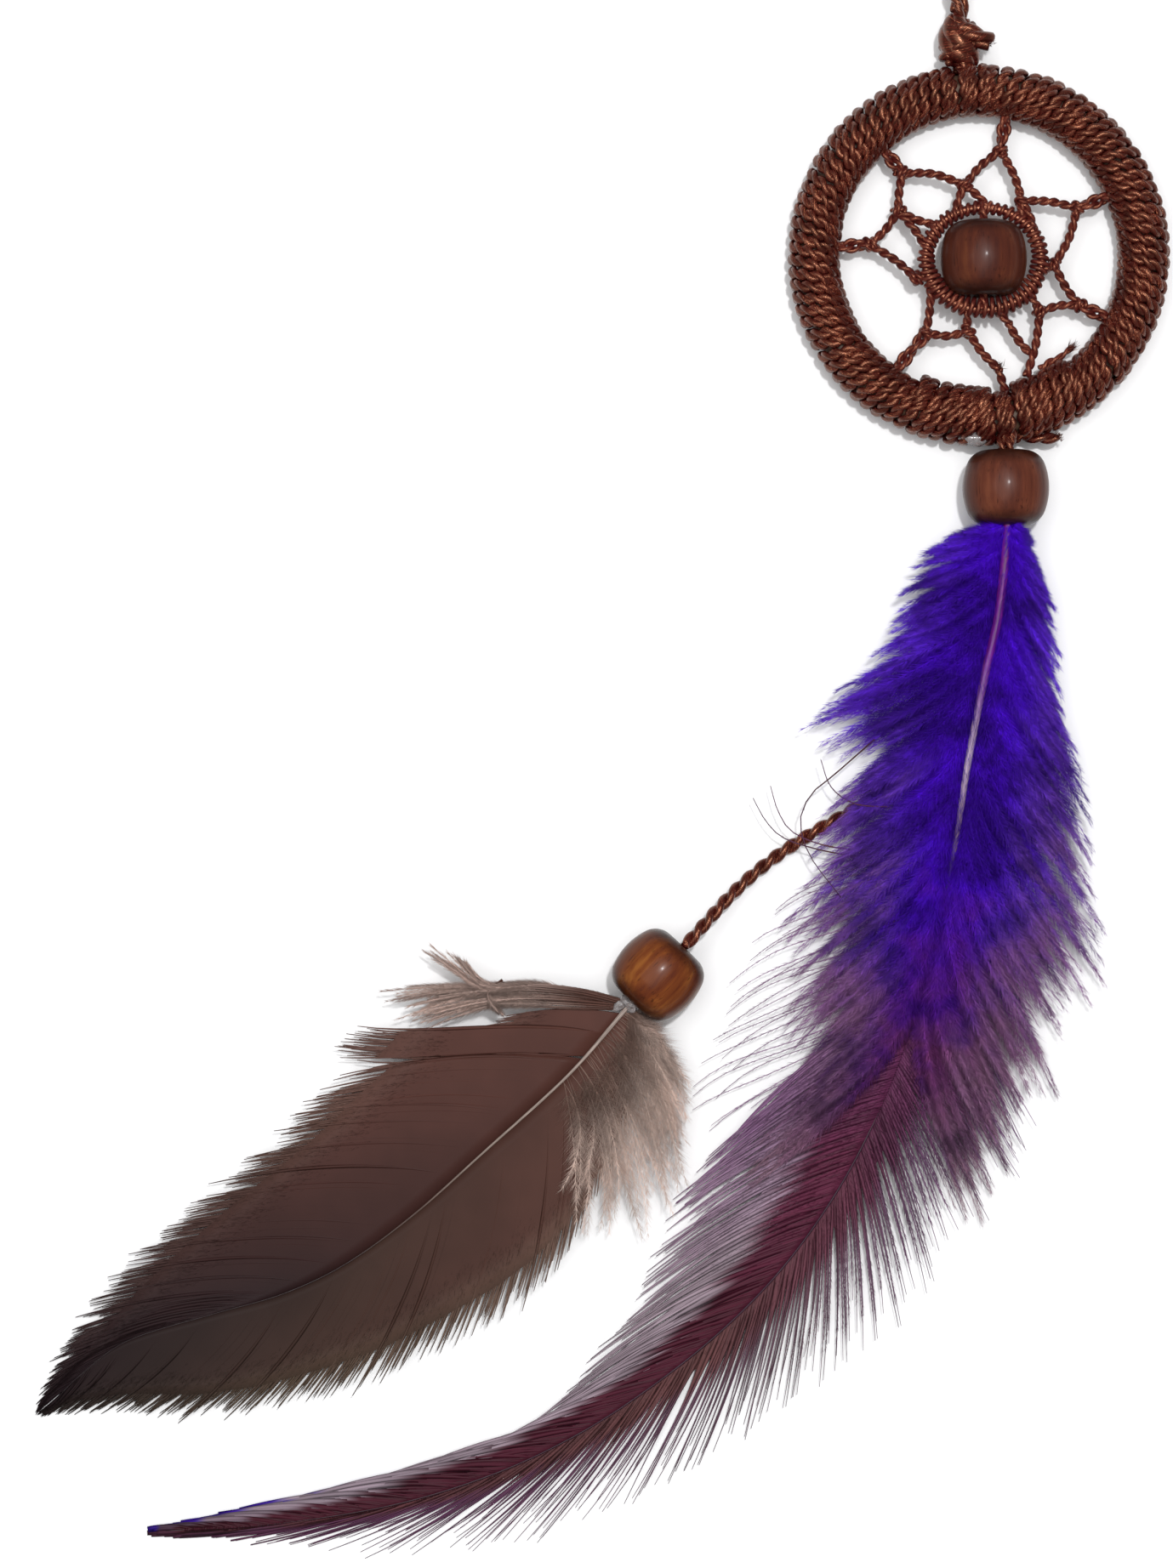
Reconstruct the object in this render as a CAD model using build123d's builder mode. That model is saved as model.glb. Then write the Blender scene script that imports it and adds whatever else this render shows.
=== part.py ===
from build123d import *

import math
import os

# A small dream catcher lying flat, +Z up from the surface that it lies on.
# +Y runs from the feathers towards the hanging loop. The origin is on the surface, under the
# middle of the whole piece without its free cords. All sizes are millimetres.

# --- Hoop: a round core ring, closely wound with cord ---
HOOP_OUTER_D = 45.0
HOOP_TUBE_D = 6.3
CORE_D = 3.8
HOOP_X = 43.3
HOOP_Y = 62.9
HOOP_Z = HOOP_TUBE_D / 2
HOOP_R = (HOOP_OUTER_D - HOOP_TUBE_D) / 2
WRAP_GAP = 0.05
LASHING_SHIFT = 1.05
LASHING_ARCS = [(-114, 27), (-75, 23)]

# --- Rings of cord that turn round the core, in gaps in the winding ---
RING_CORD_R = 0.58
RING_CLEARANCE = 0.08
RING_PITCH = 1.1
RING_GAP_HALF = 1.35
HANGER_X = 41.8
TIE_X = 46.3

# --- Beads: turned wooden barrels ---
BEAD_D = 10.1
BEAD_LENGTH = 8.8
BEAD_BORE_R = 1.6
BEAD_SHOULDER_R = 3.7
BEAD_EDGE_R = 2.5
BEAD_MOUTH_CHAMFER = 0.3
BEAD_Z = BEAD_D / 2
TIE_TO_BEAD = 0.8
CENTRE_BEAD = (43.7, 62.3)
LOWER_BEAD = (5.6, -21.5)
LOWER_BEAD_TURN = -43.5

# --- Cords ---
CORD_R = 0.8
WEB_R = 0.55
WEB_KNOT_R = 0.95
KNOT_HEIGHT = 5.09
ANCHOR_DEPTH = 0.5
TUBE_FILL = 0.45

# --- Inner ring of the web, wound with fine thread round the centre bead ---
INNER_RING_RX = 6.8
INNER_RING_RY = 6.0
INNER_RING_R = 0.7
INNER_RING_Z = 4.6
BEAD_THREAD_R = 0.5

# --- Feathers ---
PURPLE_SHAFT_R = 0.45
BROWN_SHAFT_R = 0.35
SPINE_GAP_HALF = 0.15
PURPLE_MOUTH_Z = 5.9
PURPLE_SLOPE = 0.0456
VANE_HALF = 0.25
DOWN_BELOW = 0.8
DOWN_ABOVE = 1.4
BROWN_TURN = -145.2
BROWN_SLOPE = 0.053

os.makedirs("parts", exist_ok=True)


def save(piece, name):
    """Labels a finished piece and writes it to its own STEP file."""
    piece.part.label = name
    export_step(piece.part, f"parts/{name}.step")


# ---------------------------------------------------------------- hoop
hoop_axis = Axis((HOOP_X, HOOP_Y, HOOP_Z), (0, 0, 1))


def hoop_point(radius, degrees, z=HOOP_Z):
    """A point at this radius and angle about the hoop's centre."""
    turn = math.radians(degrees)
    return Vector(HOOP_X + radius * math.cos(turn), HOOP_Y + radius * math.sin(turn), z)


def hoop_section(degrees, radius=HOOP_R):
    """The plane that cuts the hoop's tube square at this angle, with the tube's centre as origin."""
    turn = math.radians(degrees)
    along = (-math.sin(turn), math.cos(turn), 0)
    return Plane(origin=hoop_point(radius, degrees), x_dir=(0, 0, 1), z_dir=along)


hanger_angle = 90 + math.degrees(math.asin((HOOP_X - HANGER_X) / HOOP_R))
tie_angle = -90 + math.degrees(math.asin((TIE_X - HOOP_X) / HOOP_R))
gap_angle = math.degrees(RING_GAP_HALF / HOOP_R)

with BuildPart() as hoop_core:
    with BuildSketch(hoop_section(0)):
        Circle(CORE_D / 2)
    revolve(axis=hoop_axis)
save(hoop_core, "hoop_core")

with BuildPart() as hoop_wrap:
    for start, stop in [
        (tie_angle + gap_angle, hanger_angle - gap_angle),
        (hanger_angle + gap_angle, 360 + tie_angle - gap_angle),
    ]:
        with BuildSketch(hoop_section(start)):
            Circle(HOOP_TUBE_D / 2)
            Circle(CORE_D / 2 + WRAP_GAP, mode=Mode.SUBTRACT)
        revolve(axis=hoop_axis, revolution_arc=stop - start)
save(hoop_wrap, "hoop_wrap")

# A second layer of turns, inside the hoop's lower edge, where the web's cord starts and ends.
with BuildPart() as web_lashing:
    for start, arc in LASHING_ARCS:
        with BuildSketch(hoop_section(start)):
            with Locations((0, -LASHING_SHIFT)):
                Circle(HOOP_TUBE_D / 2)
            Circle(HOOP_TUBE_D / 2 + WRAP_GAP, mode=Mode.SUBTRACT)
        revolve(axis=hoop_axis, revolution_arc=arc)
save(web_lashing, "web_lashing")


# ---------------------------------------------------------------- web
def web_point(x, y):
    """A point of the web, x and y from the hoop's centre; the web rises towards the centre bead."""
    inward = 1 - math.hypot(x, y) / (HOOP_R - HOOP_TUBE_D / 2)
    return Vector(HOOP_X + x, HOOP_Y + y, HOOP_Z + 1.6 * inward)


def web_anchor(degrees):
    """Where the web's cord dips into the hoop's winding."""
    return hoop_point(HOOP_R - HOOP_TUBE_D / 2 + ANCHOR_DEPTH, degrees)


def strand(start, end, radius=WEB_R):
    """A straight round strand, joined to the part that is being made."""
    with Locations(Plane(origin=start, z_dir=end - start)):
        Cylinder(radius, (end - start).length, align=(Align.CENTER, Align.CENTER, Align.MIN))


# Where the web's cord goes round the hoop, and the hitch just inside it.
anchors = {
    "top": (web_anchor(79), web_point(2.5, 12.2)),
    "upper_left": (web_anchor(132), web_point(-9.0, 9.6)),
    "left": (web_anchor(177), web_point(-12.8, 1.2)),
    "lower_left": (web_anchor(234), web_point(-6.2, -9.2)),
    "lower_right": (web_anchor(-26), web_point(11.7, -5.9)),
    "upper_right": (web_anchor(24), web_point(11.5, 5.5)),
}
# The hitches of the inner row, which the two legs from each outer hitch run to.
hitches = {
    "north_west": web_point(-1.7, 8.1),
    "north_east": web_point(5.0, 6.3),
    "west": web_point(-9.5, 5.1),
    "south_west": web_point(-7.4, -2.8),
    "east": web_point(8.8, -1.2),
    "south_east": web_point(7.1, -6.7),
    "south": web_point(-1.3, -9.0),
}
outer_legs = [
    ("top", "north_west"),
    ("top", "north_east"),
    ("upper_left", "north_west"),
    ("upper_left", "west"),
    ("left", "west"),
    ("left", "south_west"),
    ("lower_left", "south"),
    ("lower_right", "east"),
    ("lower_right", "south_east"),
    ("upper_right", "east"),
    ("upper_right", "north_east"),
]
# Short legs from the inner hitches to the wound ring round the bead.
inner_legs = [
    ("north_west", 120),
    ("north_west", 85),
    ("north_east", 50),
    ("north_east", 25),
    ("west", 140),
    ("west", 168),
    ("south_west", 200),
    ("east", 350),
    ("south_east", 320),
    ("south", 255),
]


def ring_point(degrees):
    """A point on the middle line of the oval ring round the centre bead."""
    turn = math.radians(degrees)
    return Vector(
        CENTRE_BEAD[0] + INNER_RING_RX * math.cos(turn),
        CENTRE_BEAD[1] + INNER_RING_RY * math.sin(turn),
        INNER_RING_Z,
    )


with BuildPart() as web_outer_row:
    for anchor, hitch in anchors.values():
        strand(anchor, hitch, WEB_R * 1.4)
    for anchor, hitch in outer_legs:
        strand(anchors[anchor][1], hitches[hitch])
    strand(anchors["lower_left"][1], ring_point(205))
    strand(hitches["south"], web_point(1.7, -14.9))
    strand(hitches["south_east"], web_point(5.6, -13.6))
    strand(web_point(3.4, -8.0), web_point(5.9, -11.5))
save(web_outer_row, "web_outer_row")

with BuildPart() as web_inner_row:
    for hitch, degrees in inner_legs:
        strand(hitches[hitch], ring_point(degrees))
    strand(ring_point(285), web_point(3.4, -8.0))
save(web_inner_row, "web_inner_row")

with BuildPart() as web_hitches:
    with Locations(*hitches.values(), *[hitch for anchor, hitch in anchors.values()]):
        Sphere(WEB_KNOT_R)
save(web_hitches, "web_hitches")

with BuildPart() as inner_ring:
    with BuildLine(Plane.XY.offset(INNER_RING_Z)):
        oval = EllipticalCenterArc(CENTRE_BEAD, INNER_RING_RX, INNER_RING_RY, arc_size=360)
    with BuildSketch(Plane(origin=oval @ 0, z_dir=oval % 0)):
        Circle(INNER_RING_R)
    sweep()
save(inner_ring, "inner_ring")

with BuildPart() as bead_thread:
    top = Vector(CENTRE_BEAD[0], CENTRE_BEAD[1] + INNER_RING_RY, BEAD_Z)
    bottom = Vector(CENTRE_BEAD[0], CENTRE_BEAD[1] - INNER_RING_RY, BEAD_Z)
    strand(top, bottom, BEAD_THREAD_R)
save(bead_thread, "bead_thread")

with BuildPart() as web_loose_end:
    strand(web_point(8.2, -12.6), web_point(10.8, -11.2), WEB_R)
save(web_loose_end, "web_loose_end")


# ---------------------------------------------------------------- beads
def bead_plane(x, y, turn=0.0):
    """A level plane through a bead's middle, with its Y axis along the bead's bore."""
    angle = math.radians(turn)
    return Plane(origin=(x, y, BEAD_Z), x_dir=(math.cos(angle), math.sin(angle), 0), z_dir=(0, 0, 1))


def make_bead(plane, name):
    """A turned barrel with rounded shoulders, bored along the plane's Y axis."""
    half = BEAD_LENGTH / 2
    with BuildPart() as bead:
        with BuildSketch(plane) as profile:
            with BuildLine():
                Line((BEAD_BORE_R, -half), (BEAD_SHOULDER_R, -half))
                ThreePointArc((BEAD_SHOULDER_R, -half), (BEAD_D / 2, 0), (BEAD_SHOULDER_R, half))
                Line((BEAD_SHOULDER_R, half), (BEAD_BORE_R, half))
                Line((BEAD_BORE_R, half), (BEAD_BORE_R, -half))
            make_face()
            fillet(profile.vertices().sort_by(Axis.X)[-2:], BEAD_EDGE_R)
            chamfer(profile.vertices().sort_by(Axis.X)[:2], BEAD_MOUTH_CHAMFER)
        revolve(axis=Axis(plane.origin, plane.y_dir))
    save(bead, name)


tie_centre = hoop_point(HOOP_R, tie_angle)
upper_mouth_y = hoop_point(HOOP_R + HOOP_TUBE_D / 2, tie_angle).Y - TIE_TO_BEAD
lower_mouth_y = upper_mouth_y - BEAD_LENGTH
upper_bead_plane = bead_plane(TIE_X, upper_mouth_y - BEAD_LENGTH / 2)
lower_bead_plane = bead_plane(*LOWER_BEAD, LOWER_BEAD_TURN)

make_bead(bead_plane(*CENTRE_BEAD), "centre_bead")
make_bead(upper_bead_plane, "upper_bead")
make_bead(lower_bead_plane, "lower_bead")


# ---------------------------------------------------------------- cord rings and knots on the hoop
def core_ring(degrees):
    """Two turns of cord round the hoop's core at this angle, joined to the part being made."""
    middle = hoop_section(degrees)
    for side in (-RING_PITCH / 2, RING_PITCH / 2):
        with Locations(middle.offset(side)):
            Torus(CORE_D / 2 + RING_CLEARANCE + RING_CORD_R, RING_CORD_R)


with BuildPart() as hanger_ring:
    core_ring(hanger_angle)
save(hanger_ring, "hanger_ring")

knot_foot = hoop_point(HOOP_R + HOOP_TUBE_D / 2 + 0.3, hanger_angle)
with BuildPart() as top_knot:
    with BuildSketch(Plane(origin=knot_foot, z_dir=(0, 1, 0))):
        Circle(1.5)
    extrude(amount=KNOT_HEIGHT)
    for rise, tilt, size in [(1.5, 18, 1.75), (2.7, -16, 1.85), (3.7, 14, 1.45)]:
        with Locations(Plane(knot_foot + Vector(-0.2, rise, 0), z_dir=(math.sin(math.radians(tilt)), 1, 0))):
            Torus(size, 0.85)
save(top_knot, "top_knot")

with BuildPart() as knot_tail:
    tail_start = knot_foot + Vector(1.6, 3.2, 0.6)
    strand(tail_start, tail_start + Vector(1.7, -0.2, 0.2), CORD_R)
save(knot_tail, "knot_tail")

with BuildPart() as tie_ring:
    core_ring(tie_angle)
    strand(
        Vector(TIE_X, tie_centre.Y - 2.0, BEAD_Z),
        Vector(TIE_X, upper_mouth_y - 2.8, BEAD_Z),
        0.75,
    )
save(tie_ring, "tie_ring")

with BuildPart() as tie_cord_end:
    end_start = Vector(TIE_X + 2.9, upper_mouth_y + 1.75, HOOP_Z)
    strand(end_start, end_start + Vector(3.5, -0.3, 0), 0.6)
save(tie_cord_end, "tie_cord_end")

with BuildPart() as tie_glue:
    with Locations(Plane(origin=(HOOP_X - 0.3, upper_mouth_y + 1.5, HOOP_Z + 1.2), z_dir=(1, 0, 0))):
        Cylinder(0.75, 2.6)
    fillet(tie_glue.edges().filter_by(GeomType.CIRCLE), 0.6)
save(tie_glue, "tie_glue")


# ---------------------------------------------------------------- free cords
def corner_radii(route):
    """For each corner, the largest arc that its two runs leave room for."""
    radii = []
    for before, here, after in zip(route, route[1:], route[2:]):
        run_in = Vector(*here) - Vector(*before)
        run_out = Vector(*after) - Vector(*here)
        turn = math.radians(run_in.get_angle(run_out))
        radii.append(TUBE_FILL * min(run_in.length, run_out.length) / math.tan(turn / 2))
    return radii


def make_tube(route, tube_r, name):
    """A plain round tube along a route of straight runs and tangent arcs."""
    radii = corner_radii(route)
    with BuildPart() as tube:
        with BuildLine():
            path = FilletPolyline(*route, radius=radii)
        with BuildSketch(Plane(origin=path @ 0, z_dir=path % 0)):
            Circle(tube_r)
        sweep()
    share = tube.part.volume / (path.length * math.pi * tube_r**2)
    print(name, "length", round(path.length, 1), "volume share", round(share, 4))
    print("  corner radii", [round(r, 1) for r in radii])
    save(tube, name)


# From the upper bead's lower mouth, down to the surface under the purple feather, up to the lower bead.
lower_cord_route = [
    (46.3, 31.0, 4.3),
    (46.2, 27.6, 4.15),
    (45.7, 22.4, 2.6),
    (44.3, 16.6, 0.95),
    (41.2, 10.2, 0.8),
    (36.4, 4.0, 0.82),
    (30.2, -1.5, 0.8),
    (23.2, -5.3, 0.82),
    (18.3, -8.6, 0.95),
    (14.3, -12.1, 2.3),
    (11.2, -15.5, 4.35),
    (8.63, -18.31, 5.05),
]
make_tube(lower_cord_route, CORD_R, "lower_cord")

# Out of the knot's top, round the far end of the loop and back into the knot, beside the first leg.
hanging_loop_route = [
    (40.65, 91.5, 4.3),
    (40.3, 94.2, 4.15),
    (39.1, 98.2, 3.0),
    (37.2, 103.0, 1.2),
    (35.5, 110.0, 0.8),
    (34.5, 118.4, 0.82),
    (34.2, 126.8, 0.8),
    (35.0, 134.0, 0.82),
    (37.6, 139.0, 0.8),
    (42.0, 141.0, 0.82),
    (46.3, 139.3, 0.8),
    (48.9, 134.4, 0.82),
    (49.3, 127.0, 0.8),
    (48.5, 118.6, 0.82),
    (46.6, 110.2, 0.8),
    (44.2, 103.0, 0.9),
    (42.7, 98.2, 1.6),
    (41.6, 94.2, 2.4),
    (41.35, 91.5, 2.5),
]
make_tube(hanging_loop_route, CORD_R, "hanging_loop")


# ---------------------------------------------------------------- purple feather
# The feather's level falls evenly along -Y, from the bead's mouth to its tip on the surface.
purple_tilt = math.atan(PURPLE_SLOPE)


def purple_z(y):
    """The height of the purple feather's middle surface."""
    return PURPLE_MOUTH_Z + (y - lower_mouth_y) * PURPLE_SLOPE


def purple_point(x, y):
    return Vector(x, y, purple_z(y))


purple_plane = Plane(
    origin=(0, 0, purple_z(0)),
    x_dir=(1, 0, 0),
    z_dir=(0, -math.sin(purple_tilt), math.cos(purple_tilt)),
)
purple_spine = [
    (46.4, 34.0),
    (46.4, 30.0),
    (45.4, 20.7),
    (43.8, 13.5),
    (41.9, 3.5),
    (40.1, -8.0),
    (37.5, -20.0),
    (33.9, -32.0),
    (29.8, -41.5),
    (25.2, -49.5),
    (19.6, -57.0),
    (12.8, -63.9),
    (4.8, -70.3),
    (-3.8, -75.9),
    (-13.7, -80.6),
    (-25.7, -84.3),
    (-40.2, -86.6),
    (-53.5, -87.4),
]


make_tube([purple_point(x, y) for x, y in purple_spine], PURPLE_SHAFT_R, "purple_shaft")


def make_plate(plane, inner, outer, below, above, name):
    """A flat closed solid between a feather's shaft line and one outer edge."""
    with BuildPart() as plate:
        with BuildSketch(plane.offset(-below)):
            with BuildLine():
                Spline(*inner)
                Line(inner[-1], outer[-1])
                Spline(*outer)
                Line(outer[0], inner[0])
            make_face()
        extrude(amount=below + above)
    save(plate, name)


def beside(spine, side):
    """The spine's line moved a little to one side: 1 is the side to the left of its direction."""
    moved = []
    for before, here, after in zip(spine[:1] + spine[:-1], spine, spine[1:] + spine[-1:]):
        run = Vector(*after) - Vector(*before)
        step = side * SPINE_GAP_HALF / run.length
        moved.append((here[0] - run.Y * step, here[1] + run.X * step))
    return moved


down_spine = [(46.4, 28.0)] + purple_spine[2:8]
vane_spine = purple_spine[7:-1] + [(-51.0, -87.3)]
make_plate(
    purple_plane,
    beside(down_spine, -1),
    [(38.5, 27.5), (33.0, 21.5), (27.0, 12.0), (25.5, 2.0), (23.5, -8.0), (22.8, -19.0), (22.5, -31.0)],
    DOWN_BELOW,
    DOWN_ABOVE,
    "purple_down_left",
)
make_plate(
    purple_plane,
    beside(down_spine, 1),
    [(49.3, 27.5), (52.5, 19.5), (53.3, 8.0), (55.8, -4.0), (56.8, -17.0), (53.8, -29.0), (48.5, -38.0)],
    DOWN_BELOW,
    DOWN_ABOVE,
    "purple_down_right",
)
make_plate(
    purple_plane,
    beside(vane_spine, -1),
    [(22.4, -31.5), (14.0, -42.5), (6.0, -53.0), (0.5, -63.5), (-6.5, -73.0), (-15.5, -79.4), (-28.0, -83.2), (-50.5, -85.9)],
    VANE_HALF,
    VANE_HALF,
    "purple_vane_left",
)
make_plate(
    purple_plane,
    beside(vane_spine, 1),
    [(48.4, -38.5), (42.5, -49.5), (33.5, -62.0), (20.0, -72.5), (4.0, -82.0), (-11.0, -88.8), (-27.0, -90.8), (-50.5, -88.6)],
    VANE_HALF,
    VANE_HALF,
    "purple_vane_right",
)

with BuildPart() as upper_glue:
    with Locations(Plane(origin=(TIE_X - 1.0, lower_mouth_y, PURPLE_MOUTH_Z + 0.4), z_dir=(0, -1, 0))):
        Sphere(0.75, arc_size1=0, align=(Align.CENTER, Align.CENTER, Align.MIN))
save(upper_glue, "upper_glue")


# ---------------------------------------------------------------- brown feather
# Its own plane: X along the chord from the lower bead's mouth to the tip, falling to the surface.
brown_turn = math.radians(BROWN_TURN)
brown_dir = Vector(math.cos(brown_turn), math.sin(brown_turn), -BROWN_SLOPE)
brown_side = Vector(-math.sin(brown_turn), math.cos(brown_turn), 0)
brown_mouth = lower_bead_plane.origin - lower_bead_plane.y_dir * (BEAD_LENGTH / 2)
brown_plane = Plane(origin=brown_mouth, x_dir=brown_dir, z_dir=brown_dir.cross(brown_side))
brown_spine = [
    (0.9, 0.25),
    (11.0, 2.8),
    (24.3, 4.6),
    (35.6, 6.0),
    (45.4, 6.2),
    (53.5, 4.9),
    (61.6, 2.2),
    (71.6, -0.9),
    (78.5, -0.8),
    (83.1, 0.0),
]


brown_vane_spine = brown_spine[1:-1] + [(81.5, -0.3)]


def brown_point(along, across):
    return brown_plane.from_local_coords(Vector(along, across, 0))


brown_root = brown_mouth + lower_bead_plane.y_dir * 3.0
make_tube([brown_root] + [brown_point(*p) for p in brown_spine], BROWN_SHAFT_R, "brown_shaft")
make_plate(
    brown_plane,
    beside(brown_vane_spine, -1),
    [(10.0, -9.0), (20.5, -14.0), (32.0, -13.6), (42.4, -10.7), (57.2, -9.6), (72.3, -7.0), (80.5, -2.5)],
    VANE_HALF,
    VANE_HALF,
    "brown_vane_left",
)
make_plate(
    brown_plane,
    beside(brown_vane_spine, 1),
    [(14.0, 17.0), (21.0, 19.6), (30.4, 21.3), (42.8, 20.9), (58.9, 16.6), (73.0, 9.4), (80.5, 1.8)],
    VANE_HALF,
    VANE_HALF,
    "brown_vane_right",
)
make_plate(
    brown_plane,
    beside([(1.6, 0.4), (5.5, 1.65), (9.8, 2.5)], -1),
    [(3.0, -4.5), (6.5, -11.5), (9.4, -9.3)],
    VANE_HALF,
    VANE_HALF * 3,
    "brown_down_left",
)
make_plate(
    brown_plane,
    beside([(1.6, 0.4), (5.5, 1.65), (9.8, 2.5)], 1),
    [(2.6, 8.0), (5.5, 17.5), (13.4, 17.0)],
    VANE_HALF,
    VANE_HALF * 3,
    "brown_down_right",
)

with BuildPart() as lower_glue:
    with Locations(Plane(origin=brown_mouth + Vector(0, 0, 0.3), z_dir=-lower_bead_plane.y_dir)):
        Sphere(1.2, arc_size1=0, align=(Align.CENTER, Align.CENTER, Align.MIN))
save(lower_glue, "lower_glue")
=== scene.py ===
import math

import bpy
import numpy as np
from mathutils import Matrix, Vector


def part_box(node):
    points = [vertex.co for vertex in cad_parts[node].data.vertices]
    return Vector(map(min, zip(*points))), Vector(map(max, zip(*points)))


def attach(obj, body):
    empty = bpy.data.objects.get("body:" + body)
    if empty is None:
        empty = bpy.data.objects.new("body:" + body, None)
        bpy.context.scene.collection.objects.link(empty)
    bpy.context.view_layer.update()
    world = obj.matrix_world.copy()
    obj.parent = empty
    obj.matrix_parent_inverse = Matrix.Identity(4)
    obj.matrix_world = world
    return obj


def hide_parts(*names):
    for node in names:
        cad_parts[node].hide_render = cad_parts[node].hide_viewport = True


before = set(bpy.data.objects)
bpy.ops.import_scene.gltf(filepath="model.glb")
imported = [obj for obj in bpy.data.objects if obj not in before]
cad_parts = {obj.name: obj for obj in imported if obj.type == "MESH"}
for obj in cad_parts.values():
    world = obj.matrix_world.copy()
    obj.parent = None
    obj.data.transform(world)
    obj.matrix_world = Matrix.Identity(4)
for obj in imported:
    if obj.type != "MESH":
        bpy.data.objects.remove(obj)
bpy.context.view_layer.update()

# Lengths in this script are millimetres, and MM turns them into Blender's metres.
MM = 0.001
TAU = 2 * math.pi
UP = np.array([0.0, 0.0, 1.0])


# ---------------------------------------------------------------- camera
# The view is 137.9 by 184.4 mm on the floor, seen from straight above.
VIEW_HEIGHT = 184.4
LENS = 100.0
SENSOR = 36.0
MIDDLE_HEIGHT = 2.5
camera_data = bpy.data.cameras.new("camera")
camera_data.lens = LENS
camera_data.sensor_width = SENSOR
camera_data.clip_start = 0.01
camera_data.clip_end = 20.0
camera = bpy.data.objects.new("camera", camera_data)
camera.location = (-0.00275, 0.0008, (VIEW_HEIGHT * LENS / SENSOR + MIDDLE_HEIGHT) * MM)
bpy.context.scene.collection.objects.link(camera)
bpy.context.scene.camera = camera


# ---------------------------------------------------------------- material helpers
def new_material(name):
    """A material with an empty tree but for its output and one Principled shader."""
    made = bpy.data.materials.new(name)
    made.use_nodes = True
    made.node_tree.nodes.clear()
    output = made.node_tree.nodes.new("ShaderNodeOutputMaterial")
    shader = made.node_tree.nodes.new("ShaderNodeBsdfPrincipled")
    made.node_tree.links.new(shader.outputs["BSDF"], output.inputs["Surface"])
    return made, made.node_tree, shader


def plug(tree, node, inputs):
    """Links sockets to a node's inputs, or sets the inputs' own values."""
    for name, value in inputs.items():
        if isinstance(value, bpy.types.NodeSocket):
            tree.links.new(value, node.inputs[name])
        else:
            node.inputs[name].default_value = value


def add(tree, kind, inputs, **settings):
    """Adds a node, with its settings and inputs."""
    made = tree.nodes.new(kind)
    for name, value in settings.items():
        setattr(made, name, value)
    plug(tree, made, inputs)
    return made


def ramp(tree, factor, stops):
    """A colour ramp: stops are (place, red, green, blue)."""
    made = add(tree, "ShaderNodeValToRGB", {"Fac": factor})
    bar = made.color_ramp
    while len(bar.elements) < len(stops):
        bar.elements.new(1.0)
    for element, (place, *colour) in zip(bar.elements, stops):
        element.position = place
        element.color = (*colour, 1.0)
    return made.outputs["Color"]


def mix(tree, factor, a, b, blend="MIX"):
    inputs = {0: factor, 6: a, 7: b}
    return add(tree, "ShaderNodeMix", inputs, data_type="RGBA", blend_type=blend).outputs[2]


def times(tree, colour, shade):
    """A colour made darker or lighter by a number."""
    return mix(tree, 1.0, colour, shade, "MULTIPLY")


def maths(tree, operation, a, b=0.0):
    return add(tree, "ShaderNodeMath", {0: a, 1: b}, operation=operation).outputs[0]


def blended(tree, a, share_a, b, share_b):
    """Two noises added up, each with its share."""
    return maths(tree, "ADD", maths(tree, "MULTIPLY", a, share_a), maths(tree, "MULTIPLY", b, share_b))


def span(tree, value, low, high, to_low=0.0, to_high=1.0):
    """A value's place between low and high, smoothed, as a number from to_low to to_high."""
    inputs = {"Value": value, "From Min": low, "From Max": high, "To Min": to_low, "To Max": to_high}
    made = add(tree, "ShaderNodeMapRange", inputs, interpolation_type="SMOOTHSTEP")
    return made.outputs["Result"]


def split(tree, vector):
    """A vector's three numbers."""
    parts = add(tree, "ShaderNodeSeparateXYZ", {"Vector": vector})
    return [parts.outputs[i] for i in range(3)]


def attribute(tree):
    """The three numbers that each piece's points carry."""
    return add(tree, "ShaderNodeAttribute", {}, attribute_name="fx").outputs["Vector"]


def object_place(tree):
    return add(tree, "ShaderNodeTexCoord", {}).outputs["Object"]


def place(tree, scale=(1, 1, 1), vector=None, rotation=(0, 0, 0)):
    """Object coordinates, or another vector, turned and scaled."""
    inputs = {"Vector": vector or object_place(tree), "Scale": scale, "Rotation": rotation}
    return add(tree, "ShaderNodeMapping", inputs, vector_type="POINT").outputs["Vector"]


def noise(tree, vector, scale, detail, roughness=0.5):
    inputs = {"Vector": vector, "Scale": scale, "Detail": detail, "Roughness": roughness}
    return add(tree, "ShaderNodeTexNoise", inputs).outputs["Fac"]


def bump(tree, height, strength, distance):
    inputs = {"Height": height, "Strength": strength, "Distance": distance}
    return add(tree, "ShaderNodeBump", inputs).outputs["Normal"]


# ---------------------------------------------------------------- materials
# The colour of the cord's brightest streaks: a painted glint in its base colour.
PAINTED_GLINT = (0.7, 0.28, 0.14)


def cord_material(name, dark, middle, light, roughness):
    """Satin twisted cord: fine filaments along each ply, with a bronze specular tint and a painted bronze glint.
    """
    made, tree, shader = new_material(name)
    filaments = noise(tree, place(tree, (0.3, 3.2, 3.2), attribute(tree)), 1.7, 2.0)
    tone = blended(tree, filaments, 0.8, noise(tree, place(tree), 420.0, 3.0), 0.25)
    plug(tree, shader, {
        # The ramp's last stop is a painted glint.
        "Base Color": ramp(tree, tone, [(0.4, *dark), (0.54, *middle), (0.65, *light), (0.74, *PAINTED_GLINT)]),
        "Roughness": span(tree, filaments, 0.3, 0.7, roughness + 0.06, roughness - 0.04),
        "Normal": bump(tree, filaments, 0.4, 0.0001),
        "Specular IOR Level": 1.0,
        "Specular Tint": (1.0, 0.45, 0.26, 1.0),
    })
    return made


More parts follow.
